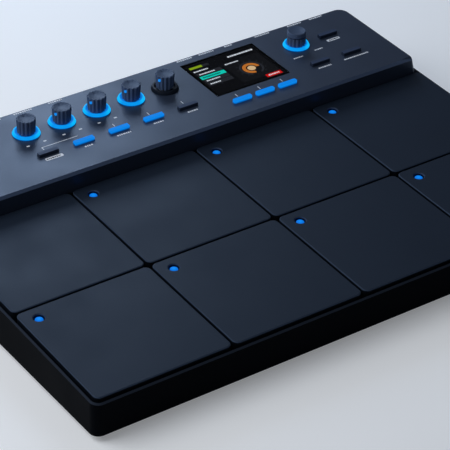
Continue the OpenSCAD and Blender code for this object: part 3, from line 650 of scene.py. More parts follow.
def ribbon_sheath():
    """Flat PVC cable: parallel conductors show as ridges 1.27 mm apart."""
    material, tree, place = start_material("ribbed PVC ribbon cable")
    ridges = add_node(tree, "TexWave", {"Vector": place, "Scale": per(1.27) * WAVE})
    tone = add_node(tree, "MixRGB", {
        "Fac": ridges.outputs["Fac"], "Color1": linear("#6f757c"), "Color2": linear("#a7adb3")})
    bump = add_node(tree, "Bump", {
        "Height": ridges.outputs["Fac"], "Strength": 0.5, "Distance": 0.3 * MM})
    shader = add_node(tree, "BsdfPrincipled", {"Base Color": tone, "Roughness": 0.45, "Normal": bump})
    add_node(tree, "OutputMaterial", {"Surface": shader})
    return material


def cell_foam():
    """Closed-cell foam: round cells about 1 mm wide, matt."""
    material, tree, place = start_material("closed-cell polyurethane foam")
    cells = add_node(tree, "TexVoronoi", {"Vector": place, "Scale": per(1)})
    tone = add_node(tree, "MixRGB", {
        "Fac": cells, "Color1": linear("#2c2d30"), "Color2": linear("#56585c")})
    bump = add_node(tree, "Bump", {"Height": cells, "Strength": 0.6, "Distance": 0.3 * MM})
    shader = add_node(tree, "BsdfPrincipled", {"Base Color": tone, "Roughness": 0.9, "Normal": bump})
    add_node(tree, "OutputMaterial", {"Surface": shader})
    return material


def clear_window(shade):
    """Window with an anti-reflection coat: clear and almost free of mirrored light, with faint smears in
    its gloss. The coat is given by a low IOR."""
    material, tree, place = start_material("coated polycarbonate window")
    smear = add_node(tree, "TexNoise", {"Vector": place, "Scale": per(25), "Detail": 2.0})
    gloss = add_node(tree, "MapRange", {"Value": smear, "To Min": 0.0, "To Max": 0.03})
    shader = add_node(tree, "BsdfPrincipled", {
        "Base Color": shade,
        "Roughness": gloss,
        "IOR": 1.12,
        "Specular IOR Level": 0.1,
        "Transmission Weight": 1.0})
    add_node(tree, "OutputMaterial", {"Surface": shader})
    return material


def screen_light(name, shade):
    """Lit part of a colour screen: even light over a dark body, with faint pixel rows 0.6 mm wide."""
    material, tree, place = start_material(name)
    rows = add_node(tree, "TexWave", {"Vector": place, "Scale": per(0.6) * WAVE})
    light = add_node(tree, "MixRGB", {
        "Fac": rows.outputs["Fac"], "Color1": tinted(shade, 0.92), "Color2": shade})
    shader = add_node(tree, "BsdfPrincipled", {
        "Base Color": linear("#020203"),
        "Specular IOR Level": 0.0,
        "Emission Color": light,
        "Emission Strength": 1.0})
    add_node(tree, "OutputMaterial", {"Surface": shader})
    return material


def printed_ink(name, shade, specular=0.3):
    """Pad-printed ink: matt and slightly uneven in cover."""
    material, tree, place = start_material(name)
    cover = add_node(tree, "TexNoise", {"Vector": place, "Scale": per(0.8), "Detail": 2.0})
    tone = add_node(tree, "MixRGB", {"Fac": cover, "Color1": tinted(shade, 0.8), "Color2": shade})
    shader = add_node(tree, "BsdfPrincipled", {
        "Base Color": tone, "Roughness": 0.6, "Specular IOR Level": specular})
    add_node(tree, "OutputMaterial", {"Surface": shader})
    return material


def paint_nodes(material, *nodes):
    """Gives CAD nodes that keep their own shape a finish."""
    for node in nodes:
        give_finish(frame["nodes"][node], material)


# Pieces


def broken_line(box):
    """Short uneven blocks that fill a line from its left to its right, in millimetres or metres alike."""
    left, front, right, back = box
    unit = back - front
    gap = 0.3 * unit
    widths = [0.9, 0.6, 0.75, 1.15, 0.65]
    blocks, start = [], left
    while right - start > gap:
        end = min(start + widths[len(blocks) % len(widths)] * unit, right)
        blocks.append((start, front, end, back))
        start = end + gap
    return blocks


class PERCUSSION_OT_stage(bpy.types.Operator):
    """Floor, soft lamps and the camera at the photograph's angle"""

    bl_idname = "percussion.stage"
    bl_label = "Stage"

    def execute(self, context):
        looks = context.scene.stage_looks
        scene = context.scene
        scene.view_settings.view_transform = "Standard"
        self.add_floor(looks)
        self.add_light(scene, looks)
        self.add_camera(scene, looks)
        return {"FINISHED"}

    def add_floor(self, looks):
        side, cells, own_light = 24, 8, 0.25
        deselect()
        bpy.ops.mesh.primitive_grid_add(x_subdivisions=cells, y_subdivisions=cells, size=side)
        floor = name_new("floor")
        # Matt paint has a slow mottle. A little light toward the camera alone keeps it pale.
        material, tree, place = start_material("matt painted studio floor")
        mottle = add_node(tree, "TexNoise", {"Vector": place, "Scale": per(400), "Detail": 3.0})
        tone = add_node(tree, "MixRGB", {
            "Fac": mottle,
            "Color1": tinted(looks.floor, 0.97),
            "Color2": tinted(looks.floor, 1.03)})
        seen = add_node(tree, "LightPath").outputs["Is Camera Ray"]
        lift = add_node(tree, "Math", {0: seen, 1: own_light}, operation="MULTIPLY")
        shader = add_node(tree, "BsdfPrincipled", {
            "Base Color": tone, "Roughness": 0.85, "Specular IOR Level": 0.2,
            "Emission Color": tone, "Emission Strength": lift})
        add_node(tree, "OutputMaterial", {"Surface": shader})
        give_finish(floor, material)

    def add_light(self, scene, looks):
        world = bpy.data.worlds.new("soft studio")
        world.use_nodes = True
        scene.world = world
        background = world.node_tree.nodes["Background"]
        background.inputs["Color"].default_value = looks.sky
        background.inputs["Strength"].default_value = looks.sky_strength
        key_place, key_side, key_tint = (0.22, 0.8, 0.54), 0.4, (0.62, 0.775, 1.0)
        fill_place, fill_side, fill_tint = (-0.75, 0.25, 0.85), 0.9, (0.97, 0.98, 1.0)
        self.add_lamp("key_lamp", key_place, key_side, looks.key_power, key_tint)
        self.add_lamp("side_lamp", fill_place, fill_side, looks.fill_power, fill_tint)

    def add_lamp(self, name, place, side, power, tint):
        """Square soft lamp that faces the object."""
        deselect()
        bpy.ops.object.light_add(type="AREA", location=place)
        lamp = bpy.context.view_layer.objects.active
        lamp.name = name
        lamp.data.size = side
        lamp.data.energy = power
        lamp.data.color = tint
        lamp.visible_camera = False
        lamp.rotation_mode = "QUATERNION"
        lamp.rotation_quaternion = (-Vector(place)).to_track_quat("-Z", "Y")

    def add_camera(self, scene, looks):
        turn, rise = math.radians(looks.azimuth), math.radians(looks.elevation)
        back = Vector((math.sin(turn) * math.cos(rise), -math.cos(turn) * math.cos(rise), math.sin(rise)))
        deselect()
        bpy.ops.object.camera_add(location=Vector(looks.aim) + back * looks.distance)
        camera = bpy.context.view_layer.objects.active
        camera.name = "camera"
        camera.rotation_mode = "QUATERNION"
        camera.rotation_quaternion = (-back).to_track_quat("-Z", "Y")
        camera.data.lens = looks.focal
        camera.data.sensor_width = 36
        camera.data.clip_start = 0.05
        camera.data.clip_end = 50
        scene.camera = camera


class PERCUSSION_OT_case(bpy.types.Operator):
    """Finish of the case, its base plate and its socket plate"""

    bl_idname = "percussion.case"
    bl_label = "Case"

    def execute(self, context):
        looks = context.scene.case_looks
        # Painted sheen and shade: upward faces such as the rim's top carry a painted sheen, the walls are painted
        # at 0.28 of that tone as shade, and round edges 3.2 times paler as a painted highlight
        plastic = moulded(
            "spark-eroded black ABS", looks.plastic, grain=1.0, depth=0.05, roughness=0.5,
            specular=0.02, painted_side_shading=0.28, edges=3.2)
        paint_nodes(plastic, "upper_case")
        paint_nodes(coated_steel("powder-coated steel", looks.steel), "base_plate", "jack_plate")
        return {"FINISHED"}


class PERCUSSION_OT_feet(bpy.types.Operator):
    """Rubber feet with a hollowed tread and a push-in stem"""

    bl_idname = "percussion.feet"
    bl_label = "Feet"

    def execute(self, context):
        looks = context.scene.case_looks
        rubber = moulded(
            "moulded black rubber foot", looks.rubber, grain=0.8, depth=0.06, roughness=0.8, specular=0.25)
        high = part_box("rubber_feet")[1]
        top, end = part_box("base_plate")[0].z, high.z
        foot_r, stem_r, tread_r, hollow = 10 * MM, 3 * MM, 5.5 * MM, 0.8 * MM
        tread_edge, toe, waist = foot_r - 2.1 * MM, foot_r - 1.5 * MM, foot_r - 1.2 * MM
        waist_h, brim, lip, tip = 1 * MM, 0.8 * MM, 0.3 * MM, 0.5 * MM
        profile = [
            (tread_r - hollow, hollow), (tread_r, 0), (tread_edge, 0), (toe, lip), (waist, waist_h),
            (foot_r - lip, top - brim), (foot_r, top - lip), (foot_r, top), (stem_r, top),
            (stem_r, end - tip), (stem_r - tip, end)]
        model = turn_profile("foot_model", profile, steps=48)
        smooth(model)
        reach = Vector((high.x - foot_r, high.y - foot_r, 0))
        places = [(x * reach.x, y * reach.y, 0) for x in (-1, 1) for y in (-1, 1)]
        for index, place in enumerate(places, 1):
            foot = twin(model, f"foot_{index}", place)
            hand_over(foot, rubber, "unit", ["rubber_feet"], sloped=False)
        drop(model)
        return {"FINISHED"}


def light_offset(looks):
    """Place of a pad's light from the pad's middle."""
    return Vector((looks.light_left - PAD_HALF, PAD_HALF - looks.light_back, 0))


class PERCUSSION_OT_pads(bpy.types.Operator):
    """Eight rubber strike pads, each with a light hole and guide studs"""

    bl_idname = "percussion.pads"
    bl_label = "Strike pads"

    def execute(self, context):
        looks = context.scene.pad_looks
        # Painted shade and highlight: the pads' side faces are painted at 0.25 of the top's tone as the shade in
        # the gaps, and round edges, with the light hole's flared mouth, are painted 2.6 times paler as a painted
        # highlight
        rubber = moulded(
            "moulded slate rubber", looks.rubber, grain=1.3, depth=0.05, roughness=0.5,
            specular=0.2, variation=0.06, painted_side_shading=0.25, edges=2.6)
        model = self.model_pad(looks)
        for name in PADS:
            pad = twin(model, name + "_tile", deck_middle(name))
            hand_over(pad, rubber, name, [name])
        drop(model)
        return {"FINISHED"}

    def model_pad(self, looks):
        half, under_edge, tip = PAD_HALF, 0.5 * MM, 0.4 * MM
        tile = add_block("pad_model", (-half, -half, -looks.thickness), (half, half, 0))
        round_edges(tile, upright, looks.corner, 8)
        round_edges(tile, level_at(0), looks.edge, 5)
        round_edges(tile, level_at(-looks.thickness), under_edge, 2)
        reach = half - looks.stud_inset
        stud = turn_profile("stud", [
            (looks.stud_r - tip, PAD_LOW.z), (looks.stud_r, PAD_LOW.z + tip),
            (looks.stud_r, -looks.thickness + tip)], steps=32)
        places = [(reach, 0, 0), (-reach, 0, 0), (0, reach, 0), (0, -reach, 0)]
        studs = join([twin(stud, "studs", place) for place in places])
        drop(stud)
        combine(tile, studs, "UNION")
        combine(tile, self.hole_cutter(looks), "DIFFERENCE")
        return smooth(clean(tile))

    def hole_cutter(self, looks):
        """Shape of the light's hole, with a mouth that flares in a curve."""
        spare = 1 * MM
        flare = looks.mouth_r - looks.hole_r
        quarter_turn = [math.radians(15 * step) for step in range(7)]
        curve = [(looks.hole_r + flare * (1 - math.cos(a)), -looks.mouth_depth * (1 - math.sin(a)))
                 for a in quarter_turn]
        profile = [(looks.hole_r, -looks.thickness - spare)] + curve + [(looks.mouth_r, spare)]
        cutter = turn_profile("light_cut", profile, steps=48)
        return move(cutter, light_offset(looks))


class PERCUSSION_OT_cushions(bpy.types.Operator):
    """Foam cushion under each pad, modelled at rest, though the real foam flattens when the pad is struck"""

    bl_idname = "percussion.cushions"
    bl_label = "Foam cushions"

    def execute(self, context):
        foam = cell_foam()
        low, high = deck_box("pad_cushions")
        pad_middles = [deck_middle(name) for name in PADS]
        half = high.x - max(place.x for place in pad_middles)
        corner, top_edge, skin = 6 * MM, 0.8 * MM, 0.05 * MM
        model = add_block("cushion_model", (-half, -half, low.z), (half, half, high.z - skin))
        round_edges(model, upright, corner, 6)
        round_edges(model, level_at(high.z - skin), top_edge, 3)
        smooth(model)
        for name, place in zip(PADS, pad_middles):
            cushion = twin(model, name + "_foam", place)
            hand_over(cushion, foam, "unit", ["pad_cushions"])
            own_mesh(cushion)
        drop(model)
        return {"FINISHED"}


class PERCUSSION_OT_pad_lights(bpy.types.Operator):
    """Light pipes with a domed lens in the pads' holes"""

    bl_idname = "percussion.pad_lights"
    bl_label = "Pad lights"

    def execute(self, context):
        looks = context.scene.pad_looks
        blue = lit_acrylic("lit acrylic pipe", linear("#085cca"), linear("#108cf0"))
        low, high = deck_box("pad_lights")
        offset = light_offset(looks)
        pipe_r, flange_r, flange_low, flange_t = 3 * MM, 4.6 * MM, low.z + 1 * MM, 1.2 * MM
        dome_low, dome_h = high.z - 0.45 * MM, 0.7 * MM
        dome = [(pipe_r * math.cos(a), dome_low + dome_h * math.sin(a))
                for a in [math.radians(14 * step) for step in range(7)]]
        profile = [(pipe_r, low.z), (pipe_r, flange_low), (flange_r, flange_low),
                   (flange_r, flange_low + flange_t), (pipe_r, flange_low + flange_t)]
        model = turn_profile("pipe_model", profile + dome, steps=40)
        glow(model, lambda co: 1 - min(1, Vector((co.x, co.y)).length / pipe_r))
        smooth(model)
        for index, name in enumerate(PADS, 1):
            pipe = twin(model, f"pad_light_{index}", deck_middle(name) + offset)
            hand_over(pipe, blue, "unit", ["pad_lights"])
        drop(model)
        return {"FINISHED"}


class PERCUSSION_OT_panel(bpy.types.Operator):
    """Raised control panel, hollow below, with cut-outs for the controls"""

    bl_idname = "percussion.panel"
    bl_label = "Control panel"

    def execute(self, context):
        looks = context.scene.panel_looks
        # Painted highlight: the chamfer along the front is painted 4.5 times paler than the top
        plastic = moulded(
            "spark-eroded slate ABS", looks.plastic, grain=1.0, depth=0.07, roughness=0.4,
            specular=0.5, chamfer=4.5)
        shell = self.model_body(looks)
        self.hollow(shell, looks)
        self.cut_controls(shell, looks, context.scene.button_looks)
        soften(clean(shell), looks.soft_edge)
        smooth(shell)
        hand_over(shell, plastic, "unit", ["control_panel"])
        return {"FINISHED"}

    def model_body(self, looks):
        shell = add_block("control_panel_shell", PANEL_LOW, PANEL_HIGH)
        half = PANEL_HIGH.x
        pick(shell, "VERT", lambda co: near(co.z, PANEL_TOP))
        shrink = (half - looks.lean) / half
        bpy.ops.transform.resize(value=(shrink, 1, 1), center_override=(0, 0, PANEL_TOP))
        bpy.ops.mesh.select_all(action="SELECT")
        bpy.ops.mesh.bisect(
            plane_co=(0, PANEL_LOW.y + looks.bevel_depth, PANEL_TOP),
            plane_no=Vector((0, -looks.bevel_height, looks.bevel_depth)).normalized(),
            use_fill=True, clear_outer=True)
        bpy.ops.object.mode_set(mode="OBJECT")
        front, back = PANEL_LOW.y, PANEL_HIGH.y

        def back_corner(a, b):
            return near(a.y, back) and near(b.y, back) and not near(a.z, b.z)

        def front_corner(a, b):
            return max(a.y, b.y) < front + looks.bevel_depth + NEAR and not near(a.z, b.z)

        def top_rim(a, b):
            behind_bevel = max(a.y, b.y) > front + 2 * looks.bevel_depth
            return near(a.z, PANEL_TOP) and near(b.z, PANEL_TOP) and behind_bevel

        round_edges(shell, back_corner, looks.back_corner, 10)
        round_edges(shell, top_rim, looks.top_round, 5)
        round_edges(shell, front_corner, looks.front_corner, 4)
        return shell

    def hollow(self, shell, looks):
        inner_half = PANEL_HIGH.x - looks.lean - 2 * looks.wall
        room = add_block(
            "room",
            (-inner_half, PANEL_LOW.y + looks.wall, PANEL_LOW.z - looks.wall),
            (inner_half, PANEL_HIGH.y - looks.wall, PANEL_TOP - looks.wall))
        combine(shell, room, "DIFFERENCE")

    def cut_controls(self, shell, looks, button_looks):
        """Holes for the knobs and buttons, and the seat of the display window."""
        below, above = PANEL_TOP - 2 * looks.wall, PANEL_TOP + looks.wall
        cutters = []
        for name in ALL_KNOBS:
            hole = rod("hole", looks.knob_hole_r, below, above, steps=56)
            cutters.append(move(hole, knob_axis(name)))
        for name in BUTTONS + SOFT_KEYS + MENU_BUTTONS:
            reach = Vector((button_looks.size_x / 2, button_looks.size_y / 2, 0))
            reach += Vector((button_looks.gap, button_looks.gap, 0))
            slot = add_block("slot", -reach + Vector((0, 0, below)), reach + Vector((0, 0, above)))
            corner = button_looks.soft_corner if name in SOFT_KEYS else button_looks.corner
            round_edges(slot, upright, corner + button_looks.gap, 5)
            cutters.append(move(slot, deck_middle(name)))
        combine(shell, join(cutters), "DIFFERENCE")
        low, high = deck_box("display_window")
        play = Vector((0.15 * MM, 0.15 * MM, 0))
        ledge = Vector((2 * MM, 2 * MM, 0))
        seat = add_block("seat", low - play, high + play + Vector((0, 0, looks.wall)))
        combine(shell, seat, "DIFFERENCE")
        through = add_block("through", low + ledge - Vector((0, 0, looks.wall)), high - ledge)
        combine(shell, through, "DIFFERENCE")


class PERCUSSION_OT_knobs(bpy.types.Operator):
    """Five fluted knobs, a capped encoder knob, and the small lit dots on their sides"""

    bl_idname = "percussion.knobs"
    bl_label = "Knobs"

    def execute(self, context):
        looks = context.scene.knob_looks
        # Painted light: the knobs' side faces are painted 1.6 times lighter than their tops
        plastic = moulded(
            "soft-touch slate ABS", looks.plastic, grain=0.7, depth=0.04, roughness=0.42,
            specular=0.2, painted_side_shading=1.6)
        blue = lit_acrylic("lit acrylic dot", linear("#0858c4"), linear("#1890f0"))
        low, high = deck_box(KNOBS[0])
        radius = (high.x - low.x) / 2
        model = self.model_knob(looks, radius, low.z, high.z)
        for name in KNOBS:
            knob = twin(model, name + "_cap", knob_axis(name))
            hand_over(knob, plastic, name, [name])
        drop(model)
        dot = self.model_dot(radius, high.z)
        for name in DOTTED_KNOBS:
            mark = twin(dot, name + "_dot", knob_axis(name))
            hand_over(mark, blue, name)
        drop(dot)
        capped = self.model_encoder(looks, radius, low.z, high.z)
        move(capped, knob_axis("encoder_knob"))
        hand_over(capped, plastic, "encoder_knob", ["encoder_knob"])
        return {"FINISHED"}

    def fluted_outline(self, name, looks, radius, height):
        """Flat outline with evenly spaced flutes, each drawn in by eight points."""
        shares = [1.0, 0.82, 0.4, 0.1, 0.0, 0.1, 0.4, 0.82]
        deselect()
        bpy.ops.mesh.primitive_circle_add(
            vertices=looks.flutes * len(shares), radius=radius, fill_type="NGON", location=(0, 0, height))
        outline = name_new(name)
        turn = 2 * math.pi / looks.flutes

        def step_of(co):
            share = (math.atan2(co.y, co.x) % turn) / turn
            return round(share * len(shares)) % len(shares)

        for step, share in enumerate(shares):
            pick(outline, "VERT", lambda co, wanted=step: step_of(co) == wanted)
            scale = 1 - share * looks.flute_depth / radius
            bpy.ops.transform.resize(value=(scale, scale, 1), center_override=(0, 0, height))
        bpy.ops.object.mode_set(mode="OBJECT")
        return outline

    def shaft_cutter(self, looks, base):
        spare = 1 * MM
        return rod("bore", looks.shaft_r, base - spare, base + looks.shaft_depth, steps=32)

    def model_knob(self, looks, radius, base, top):
        foot_r = radius - looks.taper
        knob = self.fluted_outline("knob_model", looks, foot_r, base)
        raise_profile(knob, [(foot_r, base)] + self.dished_top(looks, radius, top))
        clean(knob)
        combine(knob, self.shaft_cutter(looks, base), "DIFFERENCE")
        half, notch_l, notch_t, spare = 0.6 * MM, 4.5 * MM, 1.3 * MM, 1 * MM
        notch = add_block(
            "notch", (-half, radius - notch_l, top - notch_t), (half, radius + spare, top + spare))
        combine(knob, notch, "DIFFERENCE")
        return smooth(clean(knob), angle=35)

    def dished_top(self, looks, radius, top):
        """Profile of a knob's top, from its side over a chamfer and a narrow rim into a shallow dish."""
        easing, rim = 0.3 * looks.chamfer, 0.3 * MM
        edge = radius - looks.chamfer
        dish_r = edge - rim
        shares = [1.0, 0.85, 0.65, 0.4, 0.15]
        dish = [(share * dish_r, top - looks.dish * (1 - share ** 2)) for share in shares]
        return [(radius, top - looks.chamfer), (radius - easing, top - easing), (edge, top)] + dish

    def model_dot(self, radius, top):
        """Small lit window set in the knob's side, toward the player's left."""
        bearing, height, brightness = math.radians(200), top - 3.4 * MM, 0.7
        corner, front_edge, sunk = 0.5 * MM, 0.15 * MM, 0.5 * MM
        reach = Vector((0.95 * MM, 0.45 * MM, 1.1 * MM))
        dot = add_block("dot_model", -reach, reach)
        round_edges(dot, lambda a, b: near(a.x, b.x) and near(a.z, b.z), corner, 4)
        round_edges(dot, lambda a, b: near(a.y, b.y) and a.y < 0, front_edge, 2)
        dot.rotation_euler.z = bearing + math.pi / 2
        dot.location = (radius - sunk) * Vector((math.cos(bearing), math.sin(bearing), 0))
        dot.location.z = height
        settle_mesh(dot)
        glow(dot, lambda co: brightness)
        return smooth(dot)

    def model_encoder(self, looks, radius, base, top):
        """Fluted skirt under a groove, with a smooth cap above."""
        cap_low, groove_h, groove_t = top - 4 * MM, 0.8 * MM, 0.7 * MM
        neck_r, lap, easing = radius - 1.6 * MM, 0.5 * MM, 0.2 * MM
        skirt_top = cap_low - groove_h
        skirt = self.fluted_outline("encoder_cap", looks, radius, base)
        raise_profile(skirt, [(radius, base), (radius, skirt_top), (radius - groove_t, skirt_top)])
        clean(skirt)
        profile = [
            (neck_r, skirt_top - lap), (neck_r, cap_low),
            (radius - easing, cap_low), (radius, cap_low + easing)]
        cap = turn_profile("cap", profile + self.dished_top(looks, radius, top), steps=112)
        combine(skirt, cap, "UNION")
        combine(skirt, self.shaft_cutter(looks, base), "DIFFERENCE")
        return smooth(clean(skirt), angle=35)


class PERCUSSION_OT_rings(bpy.types.Operator):
    """Lit collars round the knobs"""

    bl_idname = "percussion.rings"
    bl_label = "Light rings"

    def execute(self, context):
        looks = context.scene.knob_looks
        lit = lit_acrylic("edge-lit acrylic ring", looks.light, linear("#0cbafc"))
        dark = smoked_acrylic("smoked acrylic ring", linear("#161d29"))
        low, high = deck_box("light_rings")
        spigot_bore, spigot_r, bore, rim = 5.6 * MM, 9.2 * MM, 8.3 * MM, 11 * MM
        shelf, top, easing = PANEL_TOP + 0.6 * MM, high.z, 0.2 * MM
        shoulder_r, slope_r, crest_r = rim - 0.15 * MM, rim - 0.9 * MM, rim - 1.2 * MM
        shoulder_h, rim_band, bore_band = 0.3 * MM, 0.1 * MM, 0.3 * MM
        section = [
            (spigot_bore, low.z), (spigot_r, low.z), (spigot_r, PANEL_TOP), (rim - easing, PANEL_TOP),
            (rim, PANEL_TOP + easing), (rim, shelf), (shoulder_r, shelf + shoulder_h),
            (slope_r, top - easing), (crest_r, top), (bore + easing, top),
            (bore, top - easing), (bore, shelf), (spigot_bore, shelf), (spigot_bore, low.z)]
        model = turn_profile("ring_model", section, steps=72, closed_ring=True)
        # Painted highlight: the ring is drawn brighter toward the camera's left and right along this bearing, and
        # painted shade darkens its rim and its bore
        bearing = math.radians(-34)
        lamps = Vector((math.cos(bearing), math.sin(bearing), 0))
        rim_painted_shade, bore_painted_shade, least, gain, shade_end = -0.8, -0.2, 0.2, 0.9, 0.6

        def level(co):
            """Brightest at two spots along the bearing, toward the camera's left and right, as a painted
            highlight, and dim round its rim and its bore, as painted shade.
            """
            reach = Vector((co.x, co.y, 0))
            if reach.length > rim - rim_band:
                return rim_painted_shade
            if reach.length < bore + bore_band:
                return bore_painted_shade
            painted_highlight_share = abs(reach.normalized().dot(lamps))
            return least + gain * max(0, painted_highlight_share - shade_end) / (1 - shade_end)

        glow(model, level)
        smooth(model)
        for name in ALL_KNOBS:
            ring = twin(model, name + "_ring", knob_axis(name))
            hand_over(ring, lit if name in LIT_RINGS else dark, "unit", ["light_rings"])
        drop(model)
        return {"FINISHED"}


class PERCUSSION_OT_buttons(bpy.types.Operator):
    """Bar buttons, lit and unlit"""

    bl_idname = "percussion.buttons"
    bl_label = "Buttons"

    def execute(self, context):
        looks = context.scene.button_looks
        # Painted shade: the unlit buttons' side faces are painted at 0.6 of the top's tone
        dark = moulded(
            "satin dark ABS button", looks.dark, grain=0.7, depth=0.03, roughness=0.4,
            specular=0.08, painted_side_shading=0.6)
        lit = lit_acrylic("back-lit acrylic button", looks.light, linear("#0f8cf0"))
        for names, corner in [(BUTTONS + MENU_BUTTONS, looks.corner), (SOFT_KEYS, looks.soft_corner)]:
            model = self.model_button(looks, corner, context.scene.panel_looks.wall)
            for name in names:
                button = twin(model, name + "_cap", deck_middle(name))
                hand_over(button, lit if name in LIT_BUTTONS else dark, name, [name])
            drop(model)
        return {"FINISHED"}

    def model_button(self, looks, corner, panel_wall):
        """Lip, then a cap raised from it, with a stem below."""
        low, high = deck_box(BUTTONS[0])
        tip = 0.2 * MM
        lip_top = PANEL_TOP - panel_wall - looks.rest_gap
        reach = Vector((looks.size_x / 2 + looks.lip, looks.size_y / 2 + looks.lip, 0))
        floor, ceiling = Vector((0, 0, lip_top - looks.lip_t)), Vector((0, 0, lip_top))
        button = add_block("button_model", floor - reach, ceiling + reach)
        pick(button, "FACE", lambda centre, normal: normal.z > 0.5)
        bpy.ops.mesh.inset(thickness=looks.lip)
        bpy.ops.mesh.extrude_region_move(TRANSFORM_OT_translate={"value": (0, 0, high.z - lip_top)})
        bpy.ops.object.mode_set(mode="OBJECT")

        def cap_upright(a, b):
            return upright(a, b) and max(a.z, b.z) > lip_top + NEAR

        round_edges(button, cap_upright, corner, 6)
        round_edges(button, level_at(high.z), looks.crown, 3)
        stem = turn_profile("stem", [
            (looks.stem_r - tip, low.z), (looks.stem_r, low.z + tip),
            (looks.stem_r, lip_top - looks.lip_t / 2)], steps=32)
        combine(button, stem, "UNION")

        foot_painted_shade, wall_glow, top_glow = -2.2, 0.8, 0.2

        def level(co):
            """Dark at the foot, as a painted shadow line round the cap's base, and bright up the walls, with an
            even top.
            """
            if co.z < lip_top + NEAR:
                return foot_painted_shade
            return wall_glow if co.z < high.z - 0.8 * looks.crown else top_glow

        glow(button, level)
        return smooth(clean(button))


class PERCUSSION_OT_display(bpy.types.Operator):
    """Clear window with a black border, bonded to a lit screen with a layout of its own"""

    bl_idname = "percussion.display"
    bl_label = "Display"

    def execute(self, context):
        looks = context.scene.display_looks
        low, high = deck_box("display_window")
        under = high.z - looks.glass_t
        self.add_window(looks, low, high, under)
        self.add_border(looks, low, high, under)
        film, corner = 0.05 * MM, 0.4 * MM
        face = under - 3 * film
        opening = Vector((looks.ledge, looks.ledge, 0))
        base = deck_box("display_module")[1].z
        cell = add_block("screen_cell", Vector((low.x, low.y, base)) + opening,
                         Vector((high.x, high.y, face)) - opening)
        round_edges(cell, upright, corner, 3)
        hand_over(cell, screen_light("black of the screen", looks.black), "unit")
        middle = deck_middle("display_window") + Vector((0, 0, face))
        self.add_layout(looks, middle, film)
        paint_nodes(smoked_acrylic("screen housing", linear("#16181c")), "display_module")
        return {"FINISHED"}

    def add_window(self, looks, low, high, under):
        top_edge = 0.2 * MM
        glass = add_block("window_glass", (low.x, low.y, under), high)
        round_edges(glass, upright, looks.corner, 5)
        round_edges(glass, level_at(high.z), top_edge, 3)
        smooth(glass)
        hand_over(glass, clear_window(looks.glass), "unit", ["display_window"])

    def add_border(self, looks, low, high, under):
        """Black frame that holds the window's edge and the screen."""
        border = add_block("window_border", low, (high.x, high.y, under))
        round_edges(border, upright, looks.corner, 5)
        inset = Vector((looks.ledge, looks.ledge, 0))
        spare = Vector((0, 0, 1 * MM))
        hole = add_block("hole", low + inset - spare, high - inset + spare)
        combine(border, hole, "DIFFERENCE")
        black = printed_ink("black border print", looks.black, specular=0.0)
        hand_over(clean(border), black, "unit")

    def add_layout(self, looks, middle, film):
        """Rows, bars and a dial on the screen, given in millimetres from its middle."""
        words = {"text": "white", "panel": "grey", "row": "row grey", "chosen": "teal", "level": "green",
                 "alert": "red", "warm": "orange", "pale": "sand", "black": "dark text"}
        finish = {field: screen_light(word + " of the screen", getattr(looks, field))
                  for field, word in words.items()}
        rows = [(-30.5, front, -7.5, front + 4.8) for front in (6, 0.6, -4.8, -10.2)]
        tiles = [
            ("panel", "panel", 0, [(-4.5, -20, 30.5, 13.4)]),
            ("rows", "row", 0, [rows[0], rows[2], rows[3], (-18.6, 18.2, -12.6, 21.2)]),
            ("chosen", "chosen", 0, [rows[1]]),
            ("level", "level", 0, [(-30.5, 18.2, -18.8, 21.2)]),
            ("tag", "alert", 1, [(16, -23.2, 30.5, -18.8)]),
            ("title", "text", 0, broken_line((6, 18.8, 30, 20.8)) + broken_line((-30.2, 13, -17, 14.6))),
            ("words", "text", 1, broken_line((-28.5, 7.7, -14, 9.2)) + broken_line((-28.5, -3.1, -16, -1.6))
             + broken_line((-28.5, -8.5, -18, -7)) + broken_line((-2.5, 10, 10, 11.5))),
            ("tag_words", "text", 2, broken_line((18.2, -21.8, 28.4, -20.2))),
            ("chosen_words", "black", 1, broken_line((-28.5, 2.3, -12, 3.8))),
        ]
        for name, field, storey, boxes in tiles:
            piece = join([self.add_tile(middle, film, storey, box) for box in boxes])
            piece.name = "screen_" + name
            hand_over(piece, finish[field], "unit")
        dial_place = middle + Vector((13 * MM, -4.4 * MM, film))
        self.add_dial(dial_place, film, finish["warm"], finish["pale"], finish["row"])

    def add_tile(self, middle, film, storey, box):
        """One lit rectangle, given by its left, front, right and back in millimetres."""
        left, front, right, back = [side * MM for side in box]
        lift, corner = storey * film, 0.25 * MM
        low = middle + Vector((left, front, lift))
        high = middle + Vector((right, back, lift + film))
        tile = add_block("tile", low, high)
        round_edges(tile, upright, corner, 2)
        return tile

    def add_dial(self, place, film, warm, pale, grey):
        """Round level dial: a grey track with ticks, an orange arc and a pale hub."""
        tick_half, tick_inner, tick_outer = 0.35 * MM, 11 * MM, 12.6 * MM
        gap_half, reach, hub_r, easing = 4 * MM, 12 * MM, 3.4 * MM, 0.2 * MM
        ticks = []
        for bearing in range(135, -136, -27):
            tick = add_block("dial_ticks", (-tick_half, tick_inner, 0), (tick_half, tick_outer, film))
            tick.rotation_euler.z = math.radians(bearing)
            ticks.append(settle_mesh(tick))
        hand_over(move(join(ticks), place), grey, "unit")
        track = self.flat_ring("dial_track", 8.4, 10.2, film)
        gap = add_block("gap", (-gap_half, -reach, -film), (gap_half, 0, 2 * film))
        combine(track, gap, "DIFFERENCE")
        hand_over(move(clean(track), place), grey, "unit")
        arc = self.flat_ring("dial_arc", 4.6, 7.6, film)
        wedge = add_block("wedge", (0, -reach, -film), (reach, 0, 2 * film))
        combine(arc, wedge, "DIFFERENCE")
        hand_over(move(clean(arc), place), warm, "unit")
        hub = turn_profile("dial_hub", [(hub_r, 0), (hub_r, 0.6 * film), (hub_r - easing, film)], steps=48)
        hand_over(move(hub, place), pale, "unit")

